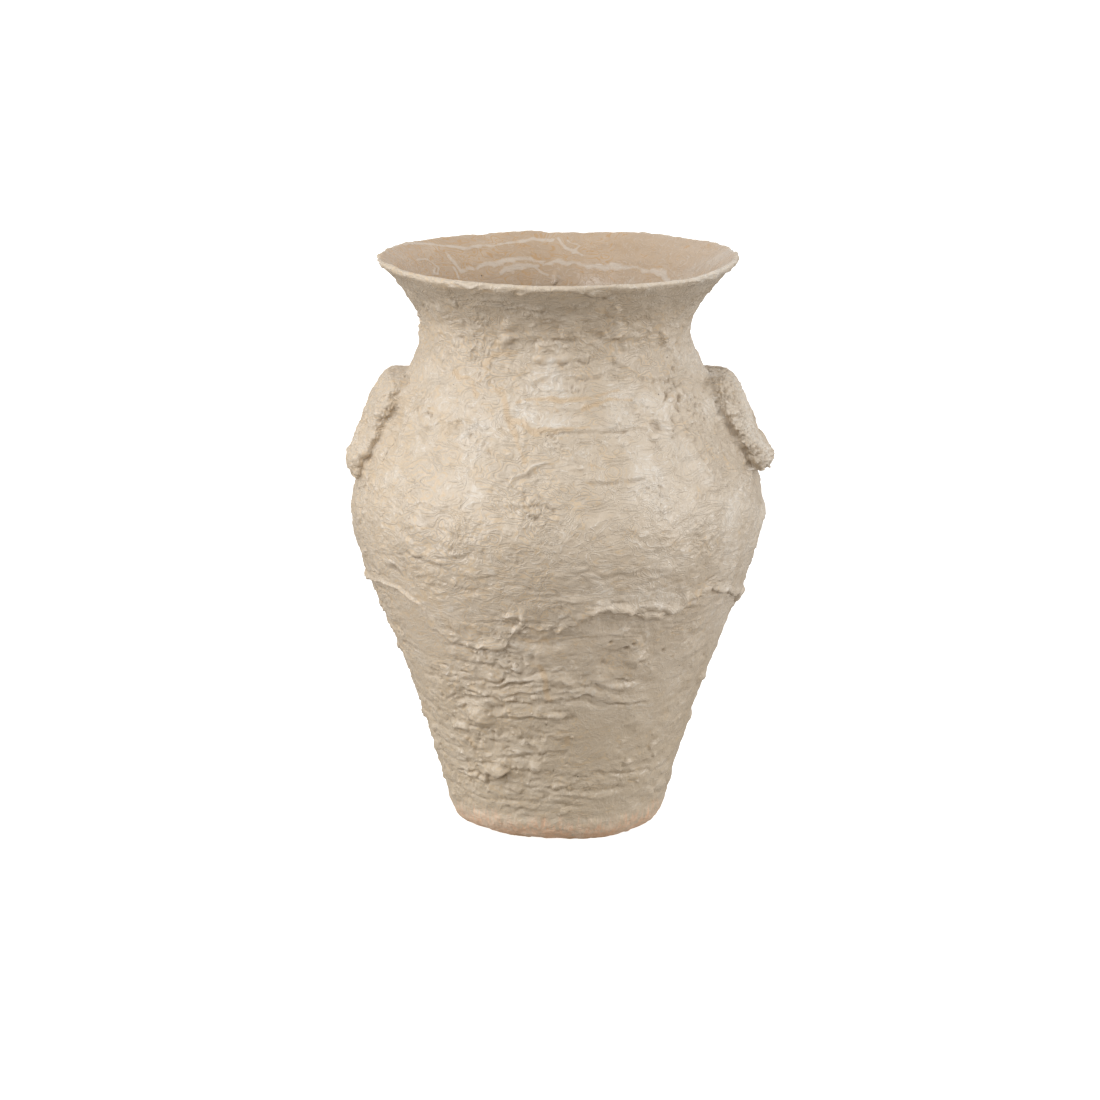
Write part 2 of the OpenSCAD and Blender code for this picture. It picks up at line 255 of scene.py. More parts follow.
class Field:
    """A value that changes over the clay; sums of such values become Math nodes in the same tree"""

    def __init__(self, socket):
        self.socket, self.tree = socket, socket.id_data

    def calc(self, operation, *others):
        """What a Math node makes of this value and others"""
        return Field(lay(self.tree, "ShaderNodeMath", [self, *others], operation=operation))

    def __add__(self, other):
        return self.calc("ADD", other)

    def __sub__(self, other):
        return self.calc("SUBTRACT", other)

    def __mul__(self, other):
        return self.calc("MULTIPLY", other)

    def __truediv__(self, other):
        return self.calc("DIVIDE", other)

    __radd__, __rmul__ = __add__, __mul__

    def left(self):
        """What this share leaves to 1"""
        return self * -1.0 + 1.0

    def rise(self, low, high, first=0.0, last=1.0):
        """Goes smoothly from first to last while this value goes from low to high"""
        return Field(lay(self.tree, "ShaderNodeMapRange",
                         {"Value": self, "From Min": low, "From Max": high, "To Min": first, "To Max": last},
                         interpolation_type="SMOOTHSTEP"))


def times(tree, place, factor):
    """A vector scaled by a factor"""
    return lay(tree, "ShaderNodeVectorMath", {0: place, "Scale": factor}, operation="SCALE")


def cloudy(tree, place, size, tall=1.0, detail=2.0, seed=0, swirl=0.0, rough=.5):
    """Soft clouds of a size in mm, which may be a named input, centred on 0; tall stretches them upwards"""
    if isinstance(size, Field):
        place, size = times(tree, place, size.calc("POWER", -1.0)), 1.0
    shifted = lay(tree, "ShaderNodeVectorMath",
                  [place, (1 / size, 1 / size, 1 / (size * tall)), (seed * 17.31, seed * 5.17, seed * 9.73)],
                  operation="MULTIPLY_ADD")
    return Field(lay(tree, "ShaderNodeTexNoise", {"Vector": shifted, "Scale": 1.0, "Detail": detail,
                                                 "Roughness": rough, "Distortion": swirl})) - .5


def kept(tree, name, kind="FLOAT"):
    """A value kept on the mesh"""
    return Field(lay(tree, "GeometryNodeInputNamedAttribute", [name], data_type=kind))


def keep(tree, geometry, name, value):
    """The geometry with a value kept on its points"""
    return lay(tree, "GeometryNodeStoreNamedAttribute", {"Geometry": geometry, "Name": name, "Value": value},
               data_type="FLOAT", domain="POINT")


def working_step(**sizes):
    """Makes a Geometry Nodes tree with named inputs, where None stands for a material, of a function that
    says what the clay becomes"""
    def build(work):
        tree = bpy.data.node_groups.new(work.__name__, "GeometryNodeTree")
        for way in ("INPUT", "OUTPUT"):
            tree.interface.new_socket("Geometry", in_out=way, socket_type="NodeSocketGeometry")
        for label, size in sizes.items():
            kind = "NodeSocketMaterial" if size is None else "NodeSocketFloat"
            socket = tree.interface.new_socket(label.replace("_", " "), in_out="INPUT", socket_type=kind)
            socket.default_value = size
        start = tree.nodes.new("NodeGroupInput")
        size = {label: Field(start.outputs[label.replace("_", " ")]) for label in sizes}
        feed(tree, tree.nodes.new("NodeGroupOutput"), {"Geometry": work(tree, start.outputs["Geometry"], size)})
        return tree
    return build


def relief_step(**sizes):
    """Makes such a tree of a function that says how many mm to add to the relief, from its named inputs,
    the place in mm and the skin. Less is added where the clay was smoothed."""
    def build(amount):
        def work(tree, clay, size):
            place = times(tree, lay(tree, "GeometryNodeInputPosition"), 1 / MM)
            more = amount(tree, size, place, kept(tree, "skin"))
            return keep(tree, clay, "relief", kept(tree, "relief") + more * kept(tree, "calm").left())
        work.__name__ = amount.__name__
        return working_step(**sizes)(work)
    return build


@relief_step(Out_of_round=1.5, Lump_height=1.05, Lump_width=27.0, Pad_height=.75, Pad_width=10.5, Grain=.28)
def hand_lumps(tree, size, place, skin):
    """Out of round, finger lumps, smaller pads and clay grain, as on any wall raised by hand"""
    broad = cloudy(tree, place, 110, detail=1, seed=1) * size["Out_of_round"] * 2.4
    lump = cloudy(tree, place, size["Lump_width"], tall=.8, seed=2) * size["Lump_height"] * 3.2
    pad = cloudy(tree, place, size["Pad_width"], tall=.75, seed=21, swirl=.5) * size["Pad_height"] * 3.4
    crumbly = cloudy(tree, place, 30, tall=.6, seed=23).rise(-.12, .14, .35, 1.3)
    grain = cloudy(tree, place, 4.2, tall=.8, detail=3, seed=3, rough=.66) * 3.0 * crumbly * size["Grain"]
    return broad + lump * skin.rise(0, 1, .5, 1) + (pad + grain) * skin.rise(0, 1, .15, 1)


@working_step(Share=1.0, Finish=None)
def raise_clay(tree, clay, size):
    """Last step: keeps how far each place stands above the clay round it, and moves the clay out"""
    whole = kept(tree, "relief") + kept(tree, "mark")
    soft = Field(lay(tree, "GeometryNodeBlurAttribute", {"Value": whole, "Iterations": 12}, data_type="FLOAT"))
    crested = keep(tree, clay, "crest", whole - soft)
    step = times(tree, kept(tree, "out", "FLOAT_VECTOR"), whole * size["Share"] * MM)
    moved = lay(tree, "GeometryNodeSetPosition", {"Geometry": crested, "Offset": step})
    solid = lay(tree, "GeometryNodeRealizeInstances", {"Geometry": moved})
    return lay(tree, "GeometryNodeSetMaterial", {"Geometry": solid, "Material": size["Finish"]})


def work_clay(mesh, steps, finish):
    """Works a plain mesh with the clay steps, each a tree and its sizes, and gives back what comes of it"""
    piece = bpy.data.objects.new("in_work", mesh)
    bpy.context.scene.collection.objects.link(piece)
    for tree, sizes in [*steps, (raise_clay, {"Finish": finish})]:
        modifier = piece.modifiers.new(tree.name, "NODES")
        modifier.node_group = tree
        for item in tree.interface.items_tree:
            if item.in_out == "INPUT" and item.name in sizes:
                modifier[item.identifier] = sizes[item.name]
    seen = piece.evaluated_get(bpy.context.evaluated_depsgraph_get())
    worked = bpy.data.meshes.new_from_object(seen)
    bpy.data.objects.remove(piece)
    return worked


def grid_faces(rows, around, first=0):
    """Quads between closed rings of points that follow each other"""
    i, j = np.meshgrid(np.arange(rows - 1), np.arange(around), indexing="ij")
    k = (j + 1) % around
    corners = [i * around + j, i * around + k, (i + 1) * around + k, (i + 1) * around + j]
    return first + np.stack(corners, -1).reshape(-1, 4)


def fan(ring, around, tip, turned=False):
    """Triangles from a ring of points to one point"""
    j = np.arange(around)
    a, b = ring + j, ring + (j + 1) % around
    return np.stack([b, a, np.full(around, tip)] if turned else [a, b, np.full(around, tip)], 1)


def plain_mesh(name, points, quads, fans=()):
    """A mesh from arrays of points in metres, quads and a few triangles"""
    mesh = bpy.data.meshes.new(name)
    loops = np.concatenate([np.asarray(quads).ravel(), np.asarray(fans, int).ravel()]).astype(np.int32)
    counts = np.concatenate([np.full(len(quads), 4), np.full(len(fans), 3)]).astype(np.int32)
    mesh.vertices.add(len(points))
    mesh.vertices.foreach_set("co", np.asarray(points, np.float32).ravel())
    mesh.loops.add(len(loops))
    mesh.loops.foreach_set("vertex_index", loops)
    mesh.polygons.add(len(counts))
    mesh.polygons.foreach_set("loop_start", np.concatenate([[0], np.cumsum(counts)[:-1]]).astype(np.int32))
    mesh.update(calc_edges=True)
    mesh.shade_smooth()
    return mesh


def write_on(mesh, **values):
    """Keeps values on the points of a mesh"""
    for name, value in values.items():
        value = np.asarray(value, np.float32)
        kind, field = ("FLOAT_VECTOR", "vector") if value.ndim == 2 else ("FLOAT", "value")
        attribute = mesh.attributes.get(name) or mesh.attributes.new(name, kind, "POINT")
        attribute.data.foreach_set(field, value.ravel())
    return mesh


def read_off(mesh, name, width=1):
    """Values of the points of a mesh"""
    values = np.zeros(len(mesh.vertices) * width, np.float32)
    if name == "co":
        mesh.vertices.foreach_get("co", values)
    elif name == "normal":
        mesh.vertex_normals.foreach_get("vector", values)
    else:
        mesh.attributes[name].data.foreach_get("value", values)
    return values.reshape(-1, width) if width > 1 else values


ANGLES = np.arange(AROUND) * 360.0 / AROUND - 180


def wall_points(cut):
    """Points in metres, outward directions, angle, radius and skin of a cut that is turned round the axis"""
    r, z, nr, nz, skin = (np.repeat(cut[:, k], AROUND) for k in range(5))
    angle = np.tile(ANGLES, len(cut))
    c, s = np.cos(np.radians(angle)), np.sin(np.radians(angle))
    for low, high, table in SWAYS:
        z = z + along(table, angle) * eased(np.clip((z - low) / (high - low), 0, 1))
    return np.stack([r * c, r * s, z], 1) * MM, np.stack([nr * c, nr * s, nz], 1), angle, r, skin


# Runs of milky glaze over the tan inside of the mouth: (half width in mm, and each (angle, height) it passes)
STREAKS = []
# Ochre veins where the glaze ran thin outside, listed in the same way
VEINS = []
STREAKS_FROM, VEINS_FROM = 340, 40


def streaks_on(angle, run, radius, skin):
    """How strongly a run of glaze inside or a vein outside covers a place: 1 in its middle, below 0 beyond"""
    cover = np.full(len(angle), -1.0)
    glazed_in = (skin < .5) & (run < run_at(STREAKS_FROM, True))
    glazed_out = (skin > .5) & (run > run_at(VEINS_FROM))
    for inside, where, paths in [(True, glazed_in, STREAKS), (False, glazed_out, VEINS)]:
        here = np.flatnonzero(where)
        a, s, r = angle[here], run[here], radius[here]
        aside, down = 1.2 * waver(a, s, 24, 7), .8 * waver(a, s, 18, 8)
        for half, *path in paths:
            for (a0, z0), (a1, z1) in zip(path, path[1:]):
                _, away = from_leg(np.radians(a - a0) * r + aside, s - run_at(z0, inside) + down,
                                   math.radians(a1 - a0) * r, run_at(z1, inside) - run_at(z0, inside))
                cover[here] = np.maximum(cover[here], 1.3 - .8 * away / half)
        cover[here] += .3 * waver(a, s, 7, 9) + .35 * waver(a, s, 30, 10)
    return np.clip(cover, -1, 1)


def raise_skin(start, end, step, steps, finish, spare=8.0):
    """The worked skin between two places along the cut. It is worked a little further at both ends,
    so that neighbours match where they meet, and the spare rows are then cut off."""
    low, high = max(0.0, start - spare), min(RUN[-1] - 1, end + spare)
    before = even_places(low, start, step)[:-1] if start > low else []
    here = even_places(start, end, step)
    after = even_places(end, high, step)[1:] if high > end else []
    places = np.concatenate([before, here, after])
    points, out, angle, radius, skin = wall_points(clay_cut(places))
    run = np.repeat(places, AROUND)
    mesh = plain_mesh("skin", points, grid_faces(len(places), AROUND))
    write_on(mesh, out=out, skin=skin, relief=np.zeros(len(points)), mark=marks_on(angle, run, radius, skin),
             calm=smoothed_at(angle, run) * (skin > .5))
    worked = work_clay(mesh, steps, finish)
    cut = slice(len(before) * AROUND, (len(before) + len(here)) * AROUND)
    placed = read_off(worked, "co", 3)[cut]
    placed[:, 2] = np.maximum(placed[:, 2], 0)
    result = {"rows": len(here), "points": placed, "normals": read_off(worked, "normal", 3)[cut],
              "crest": read_off(worked, "crest")[cut], "skin": skin[cut],
              "streak": streaks_on(angle[cut], run[cut], radius[cut], skin[cut])}
    bpy.data.meshes.remove(worked)
    return result


def shut_ring(name, skins, finish, poles=()):
    """Closes skins that follow each other round a ring of wall into one solid, with level joints between them;
    poles are [middle point, ring of points round it, whether it faces down]"""
    starts = np.cumsum([0] + [s["rows"] * AROUND for s in skins])
    faces = np.concatenate([grid_faces(s["rows"], AROUND, first) for s, first in zip(skins, starts)])
    j, k = np.arange(AROUND), (np.arange(AROUND) + 1) % AROUND
    joints = []
    for n in range(len(skins) - bool(poles)):
        last, following = starts[n + 1] - AROUND, starts[(n + 1) % len(skins)]
        joints.append(np.stack([last + j, last + k, following + k, following + j], 1))
    points = np.concatenate([s["points"] for s in skins] + [[middle] for middle, _, _ in poles])
    fans = [fan(ring % starts[-1], AROUND, starts[-1] + n, turned) for n, (_, ring, turned) in enumerate(poles)]
    mesh = plain_mesh(name, points, np.concatenate([faces, *joints]), np.concatenate(fans) if fans else ())
    for value in ("crest", "skin", "streak"):
        write_on(mesh, **{value: np.concatenate([s[value] for s in skins] + [[0]] * len(poles))})
    corner = np.zeros(len(mesh.loops), np.int32)
    mesh.loops.foreach_get("vertex_index", corner)
    given = np.concatenate([s["normals"] for s in skins] + [[(0, 0, 0)]] * len(poles))[corner].astype(np.float32)
    given[4 * len(faces):] = 0
    mesh.normals_split_custom_set(given)
    mesh.materials.append(finish)
    return finish_solid(name, mesh)


def finish_solid(name, mesh, has_node=True):
    """Turns a finished mesh into a piece that rides on the vase and stands for its CAD node"""
    mesh.name = name + "_clay"
    piece = bpy.data.objects.new(name + "_clay", mesh)
    bpy.context.scene.collection.objects.link(piece)
    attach(piece, "root")
    if has_node:
        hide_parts(name)
    return piece


def effect(**inputs):
    """Makes a shader node group with named inputs, where None stands for a vector, of a function that says
    what it puts out, for an effect that several finishes use"""
    def build(work):
        group = bpy.data.node_groups.new(work.__name__, "ShaderNodeTree")
        for label, value in inputs.items():
            kind = "Vector" if value is None else "Color" if isinstance(value, tuple) else "Float"
            socket = group.interface.new_socket(label, in_out="INPUT", socket_type="NodeSocket" + kind)
            if value is not None:
                socket.default_value = value
        start = group.nodes.new("NodeGroupInput")
        results = work(group, {label: Field(start.outputs[label]) for label in inputs})
        for label in results:
            kind = "Color" if label == "Colour" else "Float"
            group.interface.new_socket(label, in_out="OUTPUT", socket_type="NodeSocket" + kind)
        feed(group, group.nodes.new("NodeGroupOutput"), results)
        return group
    return build


def put_effect(tree, group, **inputs):
    """What an effect puts out, placed in a finish with its own values"""
    return lay(tree, "ShaderNodeGroup", inputs, node_tree=group).node.outputs


def new_finish(name):
    """A new material, its nodes and its shader"""
    material = bpy.data.materials.new(name)
    material.use_nodes = True
    return material, material.node_tree, material.node_tree.nodes["Principled BSDF"]


def place_in_mm(tree):
    """The place on the piece, in mm"""
    return times(tree, lay(tree, "ShaderNodeTexCoord", out=3), 1 / MM)


def blend_colour(tree, share, first, second):
    """Goes from the first colour to the second while the share goes from 0 to 1"""
    return lay(tree, "ShaderNodeMix", {0: share, 6: first, 7: second}, out=2, data_type="RGBA")


@effect(Place=None, Clay=(.80, .50, .32, 1), Sand=(.80, .62, .47, 1))
def raw_clay(group, on):
    """Bare fired clay: pinkish ochre in patches, with fine sand"""
    patch = cloudy(group, on["Place"], 9, detail=4, seed=31)
    sand = cloudy(group, on["Place"], 1.1, detail=3, seed=32)
    colour = blend_colour(group, (patch * 1.6 + sand * 1.2 + .5).rise(.2, .8), on["Clay"], on["Sand"])
    return {"Colour": colour, "Rough": sand * .3 + .78, "Height": sand + patch * .6}


def bare_clay():
    """The unglazed clay of the slab"""
    material, tree, shader = new_finish("bare_clay")
    clay = put_effect(tree, raw_clay, Place=place_in_mm(tree), Clay=(.50, .31, .14, 1), Sand=(.60, .42, .26, 1))
    bump = lay(tree, "ShaderNodeBump", {"Strength": .5, "Distance": .0004, "Height": clay["Height"]})
    feed(tree, shader, {"Base Color": clay["Colour"], "Roughness": clay["Rough"], "Normal": bump})
    return material


slab_finish = bare_clay()
SLAB_EDGE, FLOOR_SEAM = 2.5, FLOOR_T + .3
edge = raise_skin(0.0, run_at(SLAB_EDGE), .6, [(hand_lumps, {"Grain": .1})], slab_finish)
top = raise_skin(run_at(FLOOR_SEAM, inside=True), RUN[-1] - 3, 3.5, [(hand_lumps, {})], slab_finish)
under = {"points": edge["points"][:AROUND] * [.97, .97, 0], "normals": np.tile([0, 0, -1.0], (AROUND, 1)),
         "crest": np.zeros(AROUND), "skin": np.ones(AROUND), "streak": np.zeros(AROUND), "rows": 1}
base_slab = shut_ring("base_slab", [under, edge, top], slab_finish,
                      poles=[((0, 0, FLOOR_T * MM), -AROUND, False), ((0, 0, 0), 0, True)])


# Foot coil: the first thick coil, luted round the slab and rubbed round underneath. The glaze was
# wiped off it, so vertical runs of cream end over pinkish bare clay.
def part_of(tree, place, axis):
    """One coordinate of a place, 0 for x and 2 for the height"""
    return Field(lay(tree, "ShaderNodeSeparateXYZ", [place], out=axis))


@effect(Place=None, Crest=0.0, Cream=(.665, .56, .435, 1), Pooled=(.57, .485, .385, 1), Thin=(.68, .53, .36, 1),
        Milky=(.80, .75, .68, 1), Crevice=(.36, .275, .19, 1), Veins=1.0)
def cream_glaze_layers(group, on):
    """Cream glaze: mottled, veined like marble, thin and ochre on raised edges, greyer where it pools; hollows
    are darkened partly as pooled glaze and partly as painted shade, and ridges are lightened as a painted
    highlight
    """
    place = on["Place"]
    clouds = cloudy(group, place, 46, detail=4, seed=41, swirl=.6)
    patches = cloudy(group, place, 15, detail=3, seed=42, swirl=1.2)
    curls = cloudy(group, place, 22, tall=.5, detail=1.5, seed=43, swirl=1.6, rough=.4)
    drags = cloudy(group, place, 8, tall=.24, detail=3, seed=45, swirl=.7, rough=.6)
    fine = cloudy(group, place, 1.7, detail=3, seed=44, rough=.6)
    mottle = cloudy(group, place, 5.5, tall=1.6, detail=3, seed=46, swirl=1.5)
    away = ((curls * 8.0).calc("FRACT") - .5).calc("ABSOLUTE")
    x, high = part_of(group, place, 0), part_of(group, place, 2).rise(130, 240, .25, .6)
    pool_and_shade, ridge = (on["Crest"] * -1.0).rise(.1, .9), on["Crest"].rise(.1, .8)
    ochre = (away.rise(.05, .2, 1, 0) * (clouds * .8 + patches - x * .0014 + .06).rise(.0, .14) * .9
             + (patches - clouds * .4 - x * .0006).rise(.06, .28) * .4
             + ridge * (patches + .1).rise(-.1, .15) * .4) * on["Veins"]
    # Painted highlight: the ridge term lightens raised ridges towards the milky colour; the rest of this share
    # is real milky glaze in lines and clouds
    milky = (away.rise(.36, .47) * (x * .0009 - clouds * .8 - patches + .02).rise(.0, .14) * .4 + ridge * .3
             + (x * .0011 - clouds).rise(.02, .26) * mottle.rise(-.12, .12, .35, 1) * high) * on["Veins"]
    base = blend_colour(group, (clouds * 1.2 + patches * .7 + .42).rise(.1, .9), on["Cream"], on["Pooled"])
    base = blend_colour(group, ochre.calc("MINIMUM", .8), base, on["Thin"])
    base = blend_colour(group, milky.calc("MINIMUM", .75), base, on["Milky"])
    # Hollows in the relief are darkened here, partly as glaze pooled in them and partly as painted shade
    base = blend_colour(group, pool_and_shade * .6, base, on["Crevice"])
    relief = (fine * .9 + drags * patches.rise(-.1, .2) * 1.3 + mottle * .9 + patches * .6
              + away.rise(.25, .5) * high * .95 * on["Veins"])
    return {"Colour": base, "Rough": fine * .2 + patches * .3 + milky * -.1 + .31, "Height": relief}


@effect(Place=None, Apart=17.0, Hole=.6)
def pinholes(group, on):
    """A few tiny holes where gas broke through the glaze; the finishes paint them near-black as shade inside
    pits too small for the mesh
    """
    spread = {"Vector": times(group, on["Place"], on["Apart"].calc("POWER", -1.0)), "Scale": 1.0}
    cell = Field(lay(group, "ShaderNodeTexVoronoi", spread))
    chance = part_of(group, lay(group, "ShaderNodeTexVoronoi", spread, out=1), 0)
    return {"Mask": (cell * on["Apart"] / on["Hole"]).rise(.6, 1, 1, 0) * chance.calc("GREATER_THAN", .8)}


def glazed(name):
    """A cream-glazed finish. On the foot the glaze ends in runs over bare clay; inside it is tan and smooth"""
    material, tree, shader = new_finish(name)
    place = place_in_mm(tree)
    crest, skin, streak = (Field(lay(tree, "ShaderNodeAttribute", out=2, attribute_name=kind))
                           for kind in ("crest", "skin", "streak"))
    glaze = put_effect(tree, cream_glaze_layers, Place=place, Crest=crest)
    inner = put_effect(tree, cream_glaze_layers, Place=place, Crest=crest, Cream=(.47, .34, .225, 1),
                       Pooled=(.56, .435, .315, 1), Thin=(.49, .305, .15, 1), Milky=(.61, .53, .44, 1),
                       Crevice=(.33, .22, .13, 1), Veins=.9)
    clay = put_effect(tree, raw_clay, Place=place)
    # Pinholes dent the bump and are painted near-black, which is painted shade inside pits too small for the
    # mesh
    pinhole_pit_and_shade = put_effect(tree, pinholes, Place=place)["Mask"]
    height, within = part_of(tree, place, 2), skin.left()
    runs = cloudy(tree, place, 2.6, tall=7, detail=3, seed=51, rough=.6)
    bare = (height + runs * 46.0 + cloudy(tree, place, 22, seed=52) * 12.0).rise(6, 22, 1, 0) * skin * .85
    torn = streak + cloudy(tree, place, 3.4, tall=.5, detail=4, seed=54, rough=.65) * 1.7
    # Painted shade: the neck just under the rolled-out rim is darkened in colour, where the rim shades it
    under_rim_shade = (height.rise(350, 378) * height.rise(383, 388, 1, 0) * skin
                 * cloudy(tree, place, 30, tall=.4, seed=53).rise(-.2, .2, .2, .6))
    colour = blend_colour(tree, skin, inner["Colour"], glaze["Colour"])
    for share, over in [(torn.rise(-.7, .2) * torn.rise(-.1, .5, 1, 0) * within * .4, (.46, .30, .15, 1)),
                        (torn.rise(-.35, 1.15) * within * .62, (.65, .58, .50, 1)),
                        (streak.rise(-.5, 1) * skin * .72, (.65, .485, .31, 1)),
                        (under_rim_shade, (.47, .40, .315, 1)),
                        # Darker and browner towards the foot, fading out by 175 mm
                        (height.rise(60, 175, .3, 0) * skin, (.52, .42, .28, 1)),
                        (bare, clay["Colour"]), (pinhole_pit_and_shade, (.10, .07, .05, 1))]:
        colour = blend_colour(tree, share, colour, over)
    rough = (Field(glaze["Rough"]) - skin.rise(0, 1, .08, 0)) * bare.left() + Field(clay["Rough"]) * bare
    bumps = (Field(glaze["Height"]) * skin.rise(0, 1, .45, 1) - Field(pinhole_pit_and_shade) + torn.rise(-.3, .5) * .3
             + bare * runs * 2.0)
    bump = lay(tree, "ShaderNodeBump", {"Strength": .75, "Distance": .0006, "Height": bumps})
    feed(tree, shader, {"Base Color": colour, "Roughness": rough, "Normal": bump})
    return material


cream_glaze = glazed("cream_glaze")


def between(z, size):
    """1 between the heights that a step's last four named inputs give, and 0 beyond them"""
    return z.rise(size["Fade_from"], size["Fade_by"]) * z.rise(size["Ends_from"], size["Ends_by"], 1.0, 0.0)


@relief_step(Coil_height=13.0, First_seam=30.0, Bulge=1.0, Lap=.6, Wander=11.0,
             Fade_from=16.0, Fade_by=30.0, Ends_from=150.0, Ends_by=176.0)
def coil_seams(tree, size, place, skin):
    """Coil on coil: each coil bulges and laps over the one below, with a crease that wanders and breaks off"""
    x, z = part_of(tree, place, 0), part_of(tree, place, 2)
    wander = cloudy(tree, place, 62, seed=11) * size["Wander"] * 2.0
    ragged_mm = cloudy(tree, place, 16, tall=.7, detail=3, seed=12, swirl=.5) * 8.0
    turn = ((z - size["First_seam"] + wander + ragged_mm) / size["Coil_height"]).calc("FRACT")
    bulge = (turn * turn.left() * 4.0).calc("POWER", .55)
    lap = turn.rise(0, .13) * turn.left()
    torn = cloudy(tree, place, 24, tall=.5, seed=13).rise(-.1, .14, .15, 1.3)
    shown = (cloudy(tree, place, 44, tall=.5, seed=22) - x * .001).rise(-.08, .12, .15, 1)
    shape = (bulge - .75) * size["Bulge"] + (lap - .4) * size["Lap"] * torn
    return shape * shown * between(z, size) * skin


@relief_step(Flake_height=5.6, Depth=1.05, Patch=27.0,
             Fade_from=20.0, Fade_by=44.0, Ends_from=178.0, Ends_by=212.0)
def torn_flakes(tree, size, place, skin):
    """Thin torn layers of clay, drawn out sideways, in patches"""
    x, z = part_of(tree, place, 0), part_of(tree, place, 2)
    tear = cloudy(tree, place, 14, tall=.6, detail=3, seed=14, rough=.55, swirl=.7) * 5.0
    turn = (z / size["Flake_height"] + tear).calc("FRACT")
    flake = turn.rise(0, .16) * turn.left()
    patch = (cloudy(tree, place, size["Patch"], tall=.7, detail=3, seed=15) - x * .001).rise(.04, .17)
    return (flake - .35) * size["Depth"] * patch * between(z, size) * skin


LOW_STEPS = [(hand_lumps, {}), (coil_seams, {}), (torn_flakes, {})]


def strew(kind, count, angles, heights, long, wide, turn, out, seed):
    """Adds seeded marks of one kind over a stretch of wall, sized between two limits, small ones oftener"""
    luck = np.random.default_rng(seed)
    for _ in range(count):
        size = luck.uniform(0, 1) ** 1.7
        MARKS.append((kind, luck.uniform(*angles), luck.uniform(*heights),
                      long[0] + (long[1] - long[0]) * size, wide[0] + (wide[1] - wide[0]) * size,
                      luck.uniform(*turn),
                      out[0] + (out[1] - out[0]) * luck.uniform(0, 1) * (.4 + .6 * size)))


ALL_ROUND = (-180, 180)
for first, last, count in [(-172, -78, 30), (-78, 10, 14), (10, 188, 50)]:
    for kind, often, heights, *shape, seed in [
            ("lap", count, (24, 176), (5, 24), (2.5, 7), (-16, 16), (.5, 1.9), 101),
            ("crease", count // 2, (24, 176), (3, 14), (.9, 1.7), (-20, 20), (-.4, -1.5), 201),
            ("lump", count * 3, (22, 178), (2, 10), (1.6, 6), (-25, 25), (.4, 2.0), 301),
            ("dent", count * 2, (22, 178), (2, 12), (1.6, 7), (-25, 25), (-.5, -1.8), 401),
            ("lump", count * 8, (22, 182), (.9, 2.2), (.8, 1.7), (-40, 40), (.3, 1.1), 501)]:
        strew(kind, often, (first, last), heights, *shape, seed + count)
for at, low, high in [(-140, 42, 150), (20, 60, 150), (118, 34, 120)]:
    for kind, often, *shape, seed in [("lap", 34, (4, 15), (2, 5), (-32, 32), (.8, 2.2), 105),
                                      ("lump", 40, (1.2, 6), (1, 4), (-40, 40), (.6, 2.1), 115),
                                      ("dent", 34, (1.5, 7), (1, 4), (-40, 40), (-.6, -2.0), 125)]:
        strew(kind, often, (at, at + 58), (low, high), *shape, seed + at % 7)
OUT_STEP, IN_STEP, SEAM_RISE = .92, 4.5, 5.0


def raise_wall(name, low, high, steps, inner_low=None, inner_high=None, inner_step=IN_STEP):
    """One ring of wall between two bevelled seams; a seam lies higher inside than outside"""
    outside = raise_skin(run_at(low), run_at(high), OUT_STEP, steps, cream_glaze)
    inside = raise_skin(run_at(inner_high or high + SEAM_RISE, inside=True),
                        run_at(inner_low or low + SEAM_RISE, inside=True), inner_step, steps, cream_glaze)
    return shut_ring(name, [outside, inside], cream_glaze)


foot_coil = raise_wall("foot_coil", SLAB_EDGE, 30.0, LOW_STEPS, inner_low=FLOOR_SEAM, inner_step=3.0)


# Lower wall: five coils of coarse stoneware laid on the foot coil, each pinched on to the one below.
# The outside was left rough, with torn laps, a sausage of clay and finger creases under the glaze.
def press(kind, *marks):
    """Adds marks of one kind"""
    MARKS.extend((kind, *mark) for mark in marks)


def drag(kind, *traces):
    """Adds longer marks of one kind: (half width, how far out, and the places it passes)"""
    TRACES.extend((kind, wide, out, path) for wide, out, *path in traces)


press("lump", (-118, 55, 11, 4.8, 3, 2.6), (-157, 73, 7, 3.5, 12, 1.8), (-133, 84, 6, 4, 0, 1.6),
      (-122, 95, 12, 8, 0, 3), (-44, 69, 4.5, 3.5, 10, 1.8), (-57, 59, 5, 3, 0, 1.2),
      (-41, 61, 3, 2.5, 0, 1.6), (-100, 60, 6, 4, 20, 1.4), (-19.6, 108, 6, 4.5, 0, 2.4))
press("dent", (-84, 74, 13, 10, 0, -1.2), (-100, 84, 12, 7, 10, -1.4), (-66, 84, 18, 11, 0, -1))
drag("crease", (1, -.9, (-172, 44), (-146, 47), (-130, 48.6), (-116.4, 49.7), (-109, 57)),
     (.8, -.6, (-76, 54), (-55, 51), (-37.5, 48), (-30, 48.4)),
     (1, -.5, (-116, 62.5), (-104, 67.5), (-97, 68.6), (-90, 71)),
     (1, -.9, (-132, 78.5), (-122, 76), (-113, 76.3)), (1.2, -1.4, (-131, 87), (-124, 85), (-117, 87)),
     (1, -.9, (-152, 106), (-143, 101), (-136, 100.7)),
     (.8, -.5, (-113, 92.6), (-105, 96), (-98, 97.2), (-91, 95), (-86, 96)))
drag("lap", (5, 1.3, (-152, 47), (-130, 49.4), (-116.4, 50.7), (-109, 58)),
     (6, 1.1, (-80, 56), (-70, 54.3), (-55, 52), (-37.5, 49), (-24, 50)),
     (5, 1.1, (-119, 63.5), (-104, 69), (-97, 70.2), (-91, 72.5), (-84, 71)),
     (5, .9, (-104, 43), (-85, 37), (-66, 32.6)),
     (5, 1.1, (-114, 94), (-105, 97.5), (-98, 98.7), (-91, 96.5), (-83, 98)))
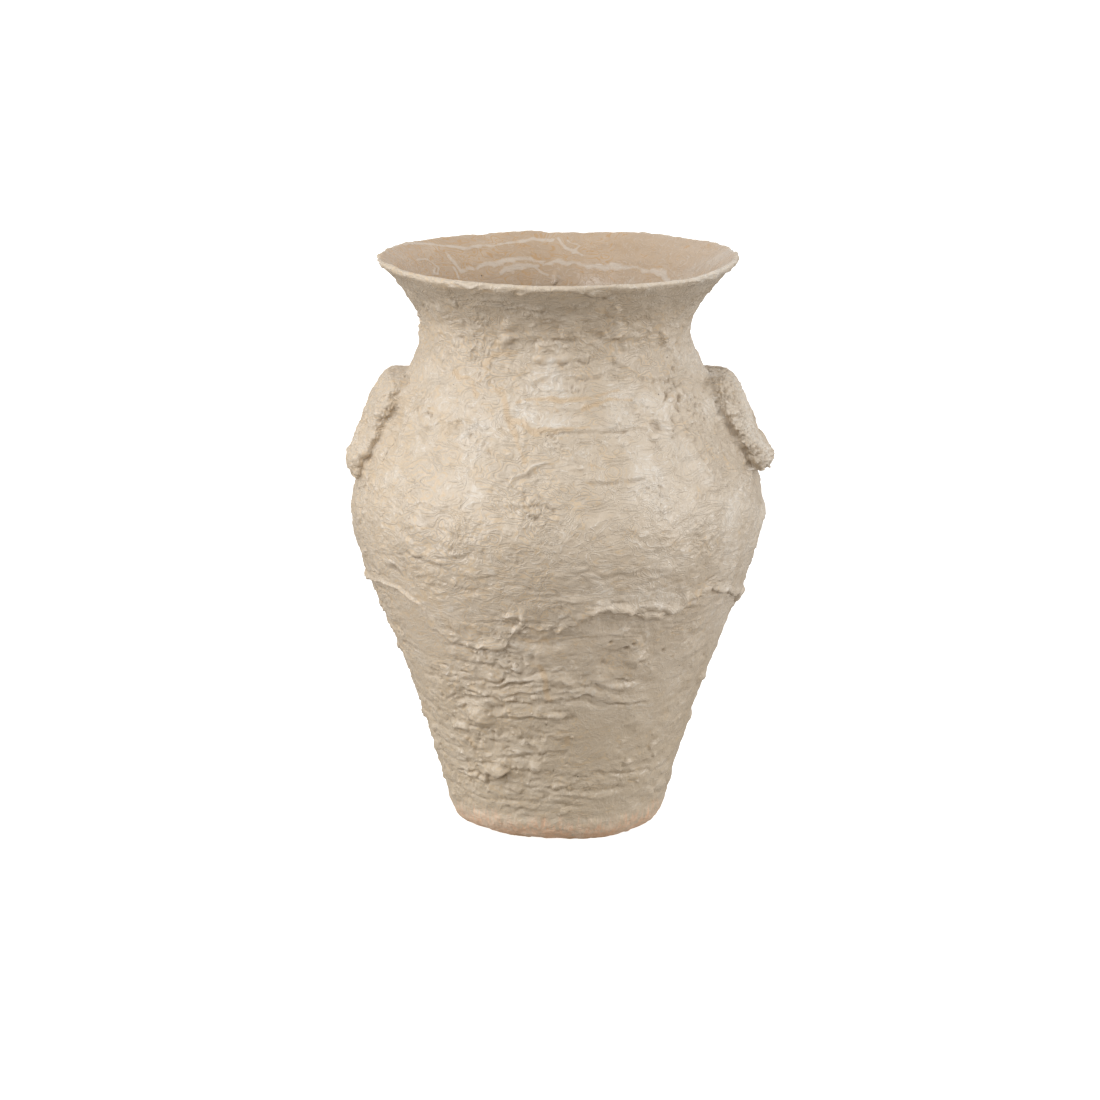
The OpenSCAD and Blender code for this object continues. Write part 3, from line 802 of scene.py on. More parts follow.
SMOOTHED += [(-150, 112, 26, 30, .6), (-76, 84, 30, 30, .7), (-50, 106, 28, 40, .6), (-104, 114, 26, 13, .4)]
VEINS += [(1, (-130.8, 75.8), (-128.9, 74.1), (-128.5, 70.5)), (1, (-114, 59.7), (-111.9, 60.8)),
          (.9, (-86.5, 82), (-85.6, 76.5))]
lower_wall = raise_wall("lower_wall", 30.0, 95.0, LOW_STEPS)


# Middle wall: the next four coils of the same clay, raised when the lower ones had stiffened, and
# joined to them along a bevelled edge. Towards its top wet fingers left soft level grooves.
@relief_step(Apart=6.2, Depth=.62, Fade_from=140.0, Fade_by=166.0, Ends_from=204.0, Ends_by=224.0)
def finger_grooves(tree, size, place, skin):
    """Soft level grooves that wet fingers left on the belly"""
    z = part_of(tree, place, 2)
    drift = cloudy(tree, place, 44, tall=.3, detail=4, seed=16) * 7.5
    wave = ((z / size["Apart"] + drift) * (2 * math.pi)).calc("SINE")
    patch = cloudy(tree, place, 24, tall=.4, seed=17).rise(-.1, .14, .1, 1)
    return wave * size["Depth"] * patch * between(z, size) * skin * .6


BELLY_STEPS = [*LOW_STEPS, (finger_grooves, {})]
press("lump", (-64, 150, 7, 5, 20, 1.6), (-88, 124, 9, 5, -20, 1.4), (-177, 122, 7, 4, 0, 2))
press("dent", (-93, 154, 14, 8, -8, -1.8), (-72.5, 140, 15, 12, 0, -2), (-72.5, 155, 3, 2, 0, -1.8),
      (-67.8, 146.7, 3, 2.4, 0, -2.2), (-65.6, 150, 2.4, 1.8, 0, -1.8), (-61.3, 136, 2.6, 3, 0, -1.7),
      (-52.3, 141.4, 2.4, 2, 0, -1.6), (-48, 136, 2, 1.7, 0, -1.4), (-58, 120, 12, 7, 0, -1.1),
      (-38, 150, 15, 8, 20, -1.3), (-105, 110, 9, 4, 20, -1.5))
drag("crease", (.9, -1, (-127, 149), (-122.8, 146.8), (-117.4, 145.3), (-112, 145.1), (-105.2, 149.5)),
     (1, -1, (-136, 130), (-132, 129), (-124, 127), (-119, 127.6)),
     (1, -.9, (-113, 115.6), (-104, 122), (-97, 124.4)), (.9, -.7, (-97, 114), (-92.4, 109.6), (-88.3, 107.3),
      (-84.4, 112.6), (-78.2, 113.5), (-69.3, 106), (-51.6, 103.7)),
     (.9, -1, (-128.7, 115.6), (-123.6, 113.5), (-118.4, 110.4), (-110.6, 108.3), (-102.5, 107.3),
      (-94.3, 102.7)),
     (.9, -.7, (-71, 106), (-61, 103.6), (-54, 103.4)),
     (1.1, -1.2, (-77, 131), (-73.6, 129), (-67.6, 124), (-61, 120)),
     (1.2, -.7, (-102, 144), (-101, 138), (-100.6, 131)))
drag("lap", (4.5, 2.2, (-115, 117), (-104.6, 123.9), (-96, 126)),
     (3.5, 1.7, (-116, 111), (-104, 115), (-95, 119)),
     (4, 1.1, (-128.7, 116.6), (-123.6, 114.5), (-118.4, 111.4), (-110.6, 109.3), (-102.5, 108.3)),
     (4.5, 1.2, (-73, 107), (-61, 105), (-52, 104.7)))
drag("ridge", (4, 1, (-97, 117), (-92.4, 112.6), (-88.3, 110.3), (-84.4, 115.6), (-78.2, 116.5), (-69.3, 109),
      (-51.6, 106.7)),
     (3.2, 1.3, (-79, 128), (-70, 120), (-60, 116.5)),
     (2.6, .6, (-104, 155), (-100.7, 148), (-99.3, 134), (-103, 125.5)),
     (2.8, .8, (-110, 141), (-106, 132), (-102, 125)))
SMOOTHED += [(-140, 152, 30, 32, .85), (-82, 146, 20, 12, .6), (-28, 150, 20, 24, .5), (-100, 138, 11, 15, .6)]
VEINS += [(1, (-109.7, 108.6), (-105.5, 109.2)), (1.1, (-95.5, 135.4), (-94.4, 118.7), (-92, 111.2))]
middle_wall = raise_wall("middle_wall", 95.0, 147.0, BELLY_STEPS)


# Belly: the band of coiled clay behind the lap strip. It was laid on the middle wall's bevelled edge
# and smoothed a little more than the coils below it, so that the strip would hold.
@relief_step(Height=.95, Width=8.5, Patch=30.0,
             Fade_from=196.0, Fade_by=222.0, Ends_from=374.0, Ends_by=384.0)
def worm_ridges(tree, size, place, skin):
    """Short curling ridges of slip, in patches, on the shoulder and neck"""
    curl = cloudy(tree, place, size["Width"], tall=1.4, seed=18, swirl=1.2)
    ridge = curl.calc("ABSOLUTE").rise(0, .06, 1, 0)
    patch = cloudy(tree, place, size["Patch"], seed=19).rise(-.02, .14, .05, 1)
    pits = (cloudy(tree, place, 6.5, seed=20) * -1.0).rise(.1, .26) * -.8
    return (ridge + pits) * patch * size["Height"] * between(part_of(tree, place, 2), size) * skin


ALL_STEPS = [*BELLY_STEPS, (worm_ridges, {})]
strew("crease", 46, ALL_ROUND, (182, 336), (3, 12), (.8, 1.4), (-30, 30), (-.3, -1.1), 131)
strew("crease", 18, ALL_ROUND, (230, 336), (3, 10), (.8, 1.2), (40, 130), (-.2, -.8), 132)
strew("lap", 64, ALL_ROUND, (182, 336), (6, 26), (4, 14), (-28, 28), (.5, 2.2), 133)
strew("lump", 120, ALL_ROUND, (182, 338), (1.5, 9), (1.2, 6), (-60, 60), (.3, 1.5), 134)
strew("dent", 110, ALL_ROUND, (182, 338), (4, 15), (3, 10), (-60, 60), (-.3, -1.5), 135)
strew("lump", 190, ALL_ROUND, (182, 338), (.8, 1.8), (.7, 1.5), (-40, 40), (.4, 1.2), 136)
strew("dent", 80, ALL_ROUND, (182, 338), (.9, 2.2), (.8, 1.5), (-40, 40), (-.4, -1.2), 137)
strew("lump", 44, (-52, -28), (286, 326), (1.2, 4.5), (1, 3), (-60, 60), (.5, 1.8), 138)
strew("dent", 26, (-52, -28), (286, 326), (3, 8), (1.6, 4), (50, 120), (-.6, -1.9), 139)
drag("ridge", (3, 1.6, (-69, 180), (-61, 178.6), (-54.4, 173.6), (-47, 174.6), (-40, 176.4)),
     (2.2, 1.7, (-103.6, 160), (-101.5, 168), (-99.4, 178)))
drag("lap", (5, 1, (-92, 183), (-83, 185), (-74, 183), (-66, 186)))
drag("crease", (.9, -.8, (-66, 176.8), (-61, 174.6), (-55, 170.8), (-49, 172)))
SMOOTHED += [(-118, 172, 26, 13, .55)]
VEINS += [(1, (-101.7, 156), (-93.9, 154.4))]
belly_wall = raise_wall("belly_wall", 147.0, 189.0, ALL_STEPS)


# Keel: the band of coiled clay that holds the widest place, where the wall turns in. It was laid on
# the belly's bevelled edge and rubbed over it, and a pitted crease crosses it on the left.
press("crease", (-131, 208.5, 7, 1.3, 8, -1.4), (-124, 210.7, 5, 1.2, 0, -1.1), (-60, 249, 8, 1.1, 75, -.7))
press("lap", (-70, 204, 30, 8, 0, 1), (-110, 200, 22, 7, 2, .9))
SMOOTHED += [(-124, 262, 42, 34, .3), (-76, 226, 46, 26, .35)]
keel_wall = raise_wall("keel_wall", 189.0, 227.0, ALL_STEPS)


# Lower shoulder: coils that step in from the keel, and carry the lower half of the lugs. Pads of
# clay were smeared over them, and fingers dragged creases down beside the lugs.
press("crease", (-122, 260, 5, 1.2, 0, -1.1), (-93, 251, 10, 1.4, -45, -.9))
press("dent", (-109, 257, 6, 3.4, 10, -1.3), (-96.6, 266, 12, 8.5, 20, -1.3), (-80, 243, 14, 8, 0, -1))
press("lump", (-109.7, 256.7, 3.4, 2.8, 0, 1.3), (-119.8, 284, 22, 10, 0, 1.3),
      (-105.1, 279.3, 2.8, 2.3, 0, 1.4), (-128, 245, 14, 10, -10, 1))
for at in (-27, -31.5, -36, -41, 150, 144, 29, 34, -151):
    press("crease", (at, 287, 27, 1.6, 98 if at < 0 else 82, -.9))
drag("crease", (.8, -.45, (-84, 262.6), (-74, 261.6), (-62, 263)))
drag("lap", (7, 1.1, (-86, 263), (-74, 262.4), (-60, 264)), (8, 1, (-108, 247), (-96, 250), (-84, 247)))
drag("ridge", (1.8, 1.4, (-104.5, 260.5), (-101.8, 266.8), (-99.2, 271.9), (-95.7, 275.2), (-91, 274.7)),
     (1.3, .8, (-87, 264.5), (-87.3, 260), (-86.5, 255)), (1.2, .7, (-87, 272), (-84, 271.6), (-81, 270)))
VEINS += [(1.2, (-106.6, 300.7), (-104, 286.9), (-100.5, 277.4)), (.8, (-80.4, 273.2), (-74.1, 269.9))]
lower_shoulder = raise_wall("lower_shoulder", 227.0, 279.0, ALL_STEPS)


# Upper shoulder: coils that step in to the neck, and carry the upper half of the lugs. They were
# worked over with fingers and a brush, which left dents, drags of slip and tan veins of glaze.
press("lump", (-56, 288.5, 5, 3.5, 0, 1.5), (-51.3, 291.8, 4, 3, 0, 1.6), (-141.2, 324.6, 4.5, 1.3, -5, 1),
      (-151, 308, 12, 8, 0, 1.1), (-47, 306, 5, 3, 30, 1.3))
press("dent", (-127, 295, 10, 6, -30, -1.6), (-119, 289, 7, 4, 0, -1.1), (-64, 312, 12, 8, 20, -1.1),
      (-54.5, 293, 7.5, 4.5, -50, -2.6), (-49.5, 285.5, 3, 2, 30, -.8), (-46.5, 308, 6, 4, 60, -2),
      (-42, 321, 8, 3.5, 80, -1.7), (-66, 327, 8, 3, 0, -1.2))
press("lap", (-100, 309, 16, 9, -12, .9))
press("crease", (-84, 318, 12, 1.3, 12, -.8), (-109, 300, 9, 1.2, -30, -.8))
drag("crease", (.8, -.55, (-97, 292), (-85, 293.4), (-75, 292.4), (-65, 293), (-56, 292)),
     (1, -.6, (-86, 326), (-79, 324), (-72, 326.6)), (.8, -.5, (-84, 317), (-74, 318.4), (-66, 317)))
drag("lap", (10, 1.1, (-98, 293), (-85, 294.4), (-75, 293.4), (-65, 294), (-54, 293)),
     (5, 1.2, (-88, 327.5), (-79, 325.5), (-70, 328.5)),
     (7, 1, (-96, 309), (-86, 306.5), (-76, 309), (-66, 307.5)))
drag("ridge", (2.4, .9, (-62, 303), (-57, 307), (-56, 315)), (2.6, 1, (-104, 300), (-101, 291), (-103, 283)))
VEINS += [(1.3, (-113, 318.2), (-110.3, 311.5), (-106.6, 300.7), (-100.8, 296.9), (-96.5, 293)),
          (1.1, (-105, 311.9), (-97.2, 313.6), (-88.7, 313.2), (-77.6, 312.9)),
          (.9, (-75.6, 314.8), (-71.7, 317.2), (-66, 317.4)),
          (1, (-81.2, 306.9), (-75.9, 309.9), (-70.4, 312.7), (-62.2, 311.2)),
          (1, (-99, 295.7), (-90.4, 294.6), (-79.3, 296.9)),
          (1.4, (-121.2, 332.9), (-117.3, 339.4), (-108, 342)),
          (1.2, (-135.2, 325.3), (-126.5, 321.9), (-121, 313.6))]
upper_shoulder = raise_wall("upper_shoulder", 279.0, 333.0, ALL_STEPS)


# Neck: the thick coil that joins the shoulder to the mouth. It was luted on and squeezed with the
# fingertips, and left lumpy under the rim.
strew("lump", 80, ALL_ROUND, (338, 376), (2, 9), (1.6, 5), (-20, 20), (.7, 2.5), 141)
strew("dent", 40, ALL_ROUND, (338, 376), (3, 9), (2, 5), (-20, 20), (-.4, -1.6), 142)
strew("lap", 34, ALL_ROUND, (338, 380), (4, 15), (2.5, 6), (-14, 14), (.4, 1.5), 143)
press("crease", (-134, 348, 3, 1.6, 0, -1.3), (-100, 352, 12, 1.5, 4, -1.2))
press("lap", (-52, 348, 17, 5, -8, 1.2))
press("lump", (-62, 345, 4, 3, 0, 1.4), (-112, 351, 7, 4.5, 0, 1.4))
press("dent", (-76, 354, 7, 5, 0, -1.4))
drag("crease", (1.4, -1, (-99, 335), (-91, 334.6), (-83, 336), (-70, 336.5)),
     (1, -.8, (-60, 351), (-52, 349), (-45, 351)))
drag("ridge", (3, 1.4, (-101, 339), (-92, 338.5), (-82, 339.6)),
     (2.5, 1.2, (-74, 357), (-68, 352.6), (-60, 355)))
drag("lap", (7, 1.5, (-118, 352), (-104, 350), (-92, 352), (-78, 350.6)))
neck_coil = raise_wall("neck_coil", 333.0, 353.0, ALL_STEPS)


# Mouth: the flare, smooth and tan inside where milky glaze ran in streaks. It sways up and down with
# the rim, and its level seam carries the rim coil.
LIP_WAVE = [(-180, 2.5), (-165, 3.2), (-155, 3.4), (-141.5, 2.1), (-129, 1.8), (-116, 1.3), (-104, 1.6),
            (-92, 1.7), (-80, 1.7), (-70, 1.5), (-57, 1.1), (-46.5, .8), (-30, 2.1), (-16.5, 2.7), (0, 3.2),
            (15, 3.6), (25, 3.3), (39, 2.3), (50, 2), (60, 2.4), (70, 1.2), (81, .2), (93, 0), (99, 1.6),
            (110, 1), (123, .7), (133, 1.3), (151, 2.5), (160, 1.7), (175.5, 2.5), (180, 2.5)]
SWAYS.append((362, 388, LIP_WAVE))
STREAKS += [(1.1, (135.8, 379.9), (136, 375.2), (134.8, 370.3), (130.7, 370.6), (127.3, 370.8)),
            (.8, (137.5, 373), (137.4, 366)), (1.2, (153, 390.2), (146, 389.2), (137, 386), (128.3, 383.4),
             (116.6, 383), (109.7, 384), (101.2, 384.8), (93.1, 385.7)),
            (1.3, (123.9, 371.3), (117.8, 372.6), (111.7, 373.9), (106.2, 374.3), (95, 373)),
            (1.2, (114.8, 367.5), (110, 368.7), (105, 369.8), (97.8, 370.4)),
            (1, (99.6, 370.4), (97.5, 367.4), (95.4, 364.3)), (1.5, (95, 371), (89, 372.2), (80.2, 371.1),
             (71.9, 369.6), (61.5, 370.2), (51.3, 370.6), (42.4, 369.5), (35.7, 366.6)),
            (.7, (155, 380.8), (149, 379), (145, 374), (148, 371), (154, 372.5)),
            (.6, (150, 377), (147.5, 374), (151, 373)), (.8, (90.5, 386.3), (86, 381), (80.6, 377)),
            (.7, (86, 386), (82, 382), (84, 378)), (1.6, (-20, 380), (-40, 374), (-75, 371), (-110, 369)),
            (1.2, (-130, 383), (-142, 372), (-150, 360))]
press("inner lump", (90.7, 362, 3.5, 5.5, 0, 1.5), (27, 388, 5, 3, 0, 1.3), (-100, 372, 30, 5, 0, .7))
press("inner dent", (60, 380, 30, 9, 0, -.8))
press("inner lap", (66, 372, 34, 5, -2, .7), (112, 376, 26, 5, 3, .6))
press("lump", (-101, 384, 6, 3.5, -10, 1.4), (-77, 384, 8, 4, -8, 1.5), (-72.5, 380.5, 3, 2.2, 0, 1.3))
drag("lap", (5, 1.2, (-112, 388), (-104, 382.5), (-98, 385), (-91, 386.4), (-84, 385), (-78, 381.6),
      (-72, 379.4), (-67, 384), (-58, 386.6)))
drag("ridge", (3, 1, (-104, 370), (-88, 366), (-70, 368)))
strew("inner dent", 26, ALL_ROUND, (345, 384), (8, 24), (3, 8), (-6, 6), (-.2, -.7), 151)
UPPER_STEPS = [(hand_lumps, {}), (worm_ridges, {})]
mouth_flare = raise_wall("mouth_flare", 353.0, 382.0, UPPER_STEPS, inner_step=1.0, inner_high=382.0)


# Rim: the last coil, laid on the level edge of the mouth and pinched thin between finger and thumb
# into a wavy edge that rolls outwards, with cream glaze run over it.
strew("lump", 60, ALL_ROUND, (384, 389.6), (2, 9), (1, 1.8), (-5, 5), (.4, 1.3), 161)
strew("dent", 46, ALL_ROUND, (384, 389.6), (2, 8), (1, 2), (-5, 5), (-.3, -1.1), 162)
rim_skin = raise_skin(run_at(382.0), run_at(382.0, True), .6, UPPER_STEPS, cream_glaze)
rim_coil = shut_ring("rim_coil", [rim_skin], cream_glaze)


# Lap strip: a strip of soft clay wrapped over the seam under the belly. Its top is rubbed into the
# wall, and its lower edge was left as a soft torn bead, wavy and hanging, thick on the right.
LAP_EDGE = [(-180, 172), (-172, 174), (-163.6, 177), (-151, 181), (-142.9, 180), (-138.5, 176.3),
            (-135.2, 172.6), (-132.3, 165.7), (-130.4, 159.8), (-127.9, 152.5), (-125.1, 147.8),
            (-119.6, 145.8), (-112.6, 146.8), (-108.7, 147.4), (-106.9, 149.9), (-104.1, 158.7),
            (-102.3, 164.2), (-98.3, 164), (-93.8, 164.2), (-91.6, 165.1), (-89.8, 159.8), (-86.9, 165.8),
            (-83.1, 170.9), (-79.1, 175), (-75.1, 178.8), (-71, 175.8), (-66.6, 172.6), (-61.3, 168.3),
            (-56.5, 166.7), (-53.8, 171), (-51.2, 174.4), (-47.1, 178), (-42.8, 180.5), (-37.1, 180.1),
            (-30.1, 175.2), (-20, 168), (-12.9, 160.4), (0, 160), (10, 156), (20, 153), (32, 166), (42, 172),
            (52, 164), (62, 154), (72, 150), (80, 149), (88, 158), (98, 169), (106, 174), (115, 175),
            (124, 166), (132, 157), (141, 152), (150, 150), (158, 160), (165, 167), (172, 170), (180, 172)]
# How thick the bead is, how wide it is, and how torn the lower edge is
LAP_BEAD = [(-180, 2.2), (-172, 3.6), (-160, 3), (-150, 2.8), (-138, 2.7), (-130, 2.2), (-120, 1.7),
            (-110, 1.8), (-105, 1.9), (-101, 1), (-95, .9), (-91, 2.6), (-86, 3), (-80, 2.6), (-75, 2.8),
            (-66, 3.6), (-58, 3.4), (-50, 3.2), (-42, 2.4), (-25, 2.6), (-9, 3.8), (1, 4), (12, 2.4), (35, 1.4),
            (62, 2.2), (80, 2.8), (98, 1.4), (130, 2), (150, 3), (165, 2), (180, 2.2)]
LAP_SOFT = [(-180, 2.2), (-165, 1.8), (-150, 1.3), (-135, 1.3), (-128, 2.4), (-112, 3), (-105, 1.6), (-100, 2),
            (-92, 2.6), (-84, 3.4), (-75, 2.8), (-66, 3.8), (-55, 4.2), (-45, 3), (-30, 2.6), (-8, 3.4),
            (10, 2.4), (50, 3.4), (90, 2.2), (140, 3.8), (180, 2.2)]
LAP_TORN = [(-180, .7), (-160, .4), (-150, .2), (-128, .25), (-112, .6), (-100, .9), (180, 1)]
LAP_H = 23.0


def ragged(angle, waves, seed):
    """A torn edge: many waves of (number round the vase, height in mm) added up with seeded starts"""
    luck = np.random.default_rng(seed)
    return sum(h * np.sin(np.radians(angle) * (n + k) + luck.uniform(0, 6.28)) / 1.7
               for n, h in waves for k in (0, 3, 7))


def on_wall(angle, run, lift):
    """Points on the smooth wall, lifted by some mm, with their outward directions"""
    r, z, nr, nz = (np.interp(run, RUN, v) for v in (LINE_R, LINE_Z, LINE_NR, LINE_NZ))
    c, s = np.cos(np.radians(angle)), np.sin(np.radians(angle))
    out = np.stack([nr * c, nr * s, nz], -1)
    points = np.stack([r * c, r * s, z], -1) + out * np.asarray(lift)[..., None]
    return points * MM, out


def make_ready(mesh, out, mark, **more):
    """Writes what the clay steps read on a mesh that is outer skin all over"""
    count = len(mesh.vertices)
    return write_on(mesh, out=out, mark=mark, skin=np.ones(count), relief=np.zeros(count),
                    streak=np.full(count, -1.0), **more)


def wrap_strip():
    """The strip as a closed band: from its rubbed top down over the bead, round the torn edge, up its back"""
    torn = along(LAP_TORN, ANGLES)
    edge_run = np.interp(along(LAP_EDGE, ANGLES), LINE_Z[:LIP_AT], RUN[:LIP_AT])
    edge_run = edge_run + torn * ragged(ANGLES, [(31, 1.2), (66, .8), (130, .35)], 5)
    uneven = (.62 + .3 * torn * ragged(ANGLES, [(16, .8), (37, .8), (75, .5)], 6)).clip(.1, 1.4)
    bead, width = along(LAP_BEAD, ANGLES) * uneven, along(LAP_SOFT, ANGLES)
    up = np.concatenate([np.linspace(LAP_H, 10, 8), np.linspace(9, 2, 12),
                         [1.5, 1.1, .75, .45, .22, .07, 0, .05, .3, .8, 1.5]])
    # The last nine rows go round the edge: what is left of the bead and of the strip's own thickness there
    swell = np.exp(-((up[:, None] - .9 * width) / width) ** 2)
    swell[-9:] *= np.array([.86, .74, .6, .44, .28, .1, -.05, -.2, -.4])[:, None]
    body = np.where(up > 1.2, np.clip(1 - up / LAP_H, 0, 1) ** .8, 1)
    body[-9:] = [.85, .75, .65, .5, .35, .1, -.2, -.5, -.9]
    body[0] = -1.0
    back = np.linspace(1.4, LAP_H, 5)
    run = edge_run[None] + np.concatenate([up, back])[:, None]
    lift = np.concatenate([body[:, None] + swell * bead, np.full((len(back), AROUND), -2.6)])
    angle = np.repeat(ANGLES[None], len(run), 0)
    points, out = on_wall(angle, run, lift)
    quads = grid_faces(len(run) + 1, AROUND)[:, [0, 3, 2, 1]] % run.size
    mesh = plain_mesh("lap_strip", points.reshape(-1, 3), quads)
    angle, run = angle.ravel(), run.ravel()
    make_ready(mesh, out.reshape(-1, 3), marks_on(angle, run, np.interp(run, RUN, LINE_R), np.ones(run.size)),
               calm=smoothed_at(angle, run))
    return work_clay(mesh, ALL_STEPS, cream_glaze)


lap_strip = finish_solid("lap_strip", wrap_strip())


# Ear lugs: two thick pads of clay pressed on the shoulder. Their tops are cut flat, a thumb groove
# runs down each side, and their faces are left pebbly, with a lump that hangs at the lower end.
LUG_AROUND, LUG_ROWS = 420, 95
LUG_TOP, LUG_OUT, LUG_CROWN_R, LUG_SQUARE = 313.0, 16.0, 90.0, 4.0
# On the left (-1) and on the right (1)
LUG_LOW, LUG_HALF_W = {-1: 243.0, 1: 250.0}, {-1: 41.0, 1: 43.0}
# Share of its thickness that a lug has, from its top to its lower end
LUG_STAND = {-1: [(0, .93), (.05, .93), (.1, .95), (.2, 1.04), (.3, 1), (.45, .88), (.6, .8), (.76, .84),
                  (.86, .68), (.94, .42), (1, .2)],
             1: [(0, 1), (.08, 1.08), (.2, 1.05), (.45, .96), (.62, .82), (.72, .92), (.84, .96), (.93, .84),
                 (1, .7)]}
# Down the side of a lug from the middle of its face: (share of its reach, share of its height over the wall)
LUG_SIDE = [(0, 1), (.5, 1), (.78, 1), (.88, .97), (.94, .9), (.975, .78), (.985, .64), (.985, .5), (.98, .36),
            (.98, .22), (.99, .1), (1.01, 0), (1.04, -.12)]
LUG_GROOVE = [(0, 1), (.5, 1), (.76, 1), (.86, .98), (.93, .92), (.965, .83), (.96, .73), (.93, .62),
              (.89, .51), (.865, .39), (.865, .26), (.89, .14), (.95, .04), (1.05, -.1)]
LUG_TOP_SIDE = [(0, 1), (.5, 1), (.8, 1), (.9, 1), (.96, .98), (.985, .93), (1, .86), (1, .76), (1, .66),
                (1, .56), (1, .42), (1, .28), (1, .14), (1.01, 0), (1.03, -.12)]
# How far each lug's foot is smeared on to the wall at its sides, and how deep the thumb groove is
# from its top to its lower end
LUG_SMEAR = {-1: .24, 1: .12}
LUG_THUMB = {-1: [(0, .05), (.1, .2), (.25, .4), (.45, .45), (.8, .3), (1, .1)],
             1: [(0, .1), (.1, .4), (.25, .8), (.6, .9), (.78, .7), (.9, .3), (1, 0)]}


@relief_step(Bit_width=3.1, Height=2.7)
def pebbles(tree, size, place, skin):
    """Crumbly clay: rounded bits pressed together, where the mesh says so"""
    warp = lay(tree, "ShaderNodeTexNoise", {"Vector": place, "Scale": .2, "Detail": 2.0}, out=1)
    bent = lay(tree, "ShaderNodeVectorMath", [warp, (4.5, 4.5, 4.5), place], operation="MULTIPLY_ADD")
    near = times(tree, bent, size["Bit_width"].calc("POWER", -1.0))
    bits, small = (Field(lay(tree, "ShaderNodeTexVoronoi", {"Vector": near, "Scale": scale}))
                   for scale in (1.0, 2.0))
    some = cloudy(tree, place, 13, seed=24).rise(-.15, .12, .3, 1)
    bump = bits.rise(.1, .85, 1, 0) + small.rise(.1, .8, 1, 0) * .45
    return (bump - .5) * size["Height"] * some * kept(tree, "pebble")


def even_side(table, half_h):
    """A side of the lug at even steps: shares of its reach and of its height over the wall"""
    share, rise = np.array(table).T
    length = np.concatenate([[0], np.cumsum(np.hypot(np.diff(share) * half_h, np.diff(rise) * LUG_OUT))])
    even = np.linspace(0, length[-1], LUG_ROWS + 1)[1:]
    return np.interp(even, length, share), np.interp(even, length, rise)


def press_lug(side, seed, crumbly, lumps):
    """One lug, from rings round its face that go over its edge and down into the groove; lumps are
    (distance forward, height, half length, half width, lean, how far out)"""
    turn = np.radians(np.arange(LUG_AROUND) * 360.0 / LUG_AROUND)
    sideways, upright = np.abs(np.cos(turn)), np.sin(turn)
    low = LUG_LOW[side]
    half_h, mid = (LUG_TOP - low) / 2, (LUG_TOP + low) / 2
    reach = ((sideways / LUG_HALF_W[side]) ** LUG_SQUARE
             + np.abs(upright / half_h) ** LUG_SQUARE) ** (-1 / LUG_SQUARE)
    upward = eased(np.clip((upright * reach / half_h - .72) / .2, 0, 1))
    reach = reach * (1 + (.035 - .03 * upward) * ragged(np.degrees(turn), [(3, .8), (9, .8), (23, .5)], seed))
    thumb = along(LUG_THUMB[side], (half_h - reach * upright) / (2 * half_h)) * np.clip(sideways * 3, 0, 1)
    sides = [even_side(table, half_h) for table in (LUG_SIDE, LUG_TOP_SIDE, LUG_GROOVE)]
    share, rise = (plain[:, None] * (1 - upward) + top[:, None] * upward
                   + (groove - plain)[:, None] * thumb * (1 - upward) for plain, top, groove in zip(*sides))
    smear = LUG_SMEAR[side] * np.clip(1 - rise / .5, 0, 1) ** 2 * sideways ** 1.5
    share = share + smear * (share > .5) * (1 - upward)
    y, z = share * reach * np.cos(turn), mid + share * reach * upright
    stand = along(LUG_STAND[side], np.clip((LUG_TOP - z) / (LUG_TOP - low), 0, 1)) * LUG_OUT
    axis_x = float(wall_r(mid)) + LUG_OUT - LUG_CROWN_R
    wall_x = np.sqrt(np.maximum(wall_r(z) ** 2 - y ** 2, 1))
    crown_x = axis_x + np.sqrt(np.maximum((wall_r(z) + stand - axis_x) ** 2 - y ** 2, 1))
    x = wall_x + rise * np.maximum(crown_x - wall_x, 2)
    lift = np.zeros_like(x)
    for forward, height, long, wide, lean, out in lumps:
        across, up = -y - forward + 1.2 * np.sin(z * .9), z - height + 1.2 * np.sin(y * .8)
        c, s = math.cos(math.radians(lean)), math.sin(math.radians(lean))
        away = np.hypot((across * c + up * s) / long, (up * c - across * s) / wide)
        lift += out * np.clip(1 - away ** 2, 0, 1) ** .85 * np.clip((rise - .25) * 4, 0, 1)
    tips = [[(wall_r(mid) + LUG_OUT * .96) * side, 0, mid], [(wall_r(mid) - 4) * side, 0, mid]]
    points = np.concatenate([np.stack([x * side, y, z], -1).reshape(-1, 3), tips])
    tip = LUG_ROWS * LUG_AROUND
    fans = np.concatenate([fan(0, LUG_AROUND, tip, turned=True), fan(tip - LUG_AROUND, LUG_AROUND, tip + 1)])
    mesh = plain_mesh("lug", points * MM, grid_faces(LUG_ROWS, LUG_AROUND), fans)
    out = read_off(mesh, "normal", 3)
    if (out[:LUG_AROUND] @ [side, 0, 0]).mean() < 0:
        mesh.flip_normals()
        mesh.update()
        out = read_off(mesh, "normal", 3)
    rubbed = .3 + .7 * np.clip((share - .5) / .38, 0, 1)
    rough = np.clip((rise - .3) / .4, 0, 1) * crumbly * (1 - .55 * upward) * rubbed
    make_ready(mesh, out, np.concatenate([lift.ravel(), [0, 0]]),
               pebble=np.concatenate([rough.ravel(), [.3 * crumbly, 0]]))
    steps = [(hand_lumps, {"Grain": .5 + .5 * crumbly}), (pebbles, {}), (worm_ridges, {})]
    return work_clay(mesh, steps, cream_glaze)


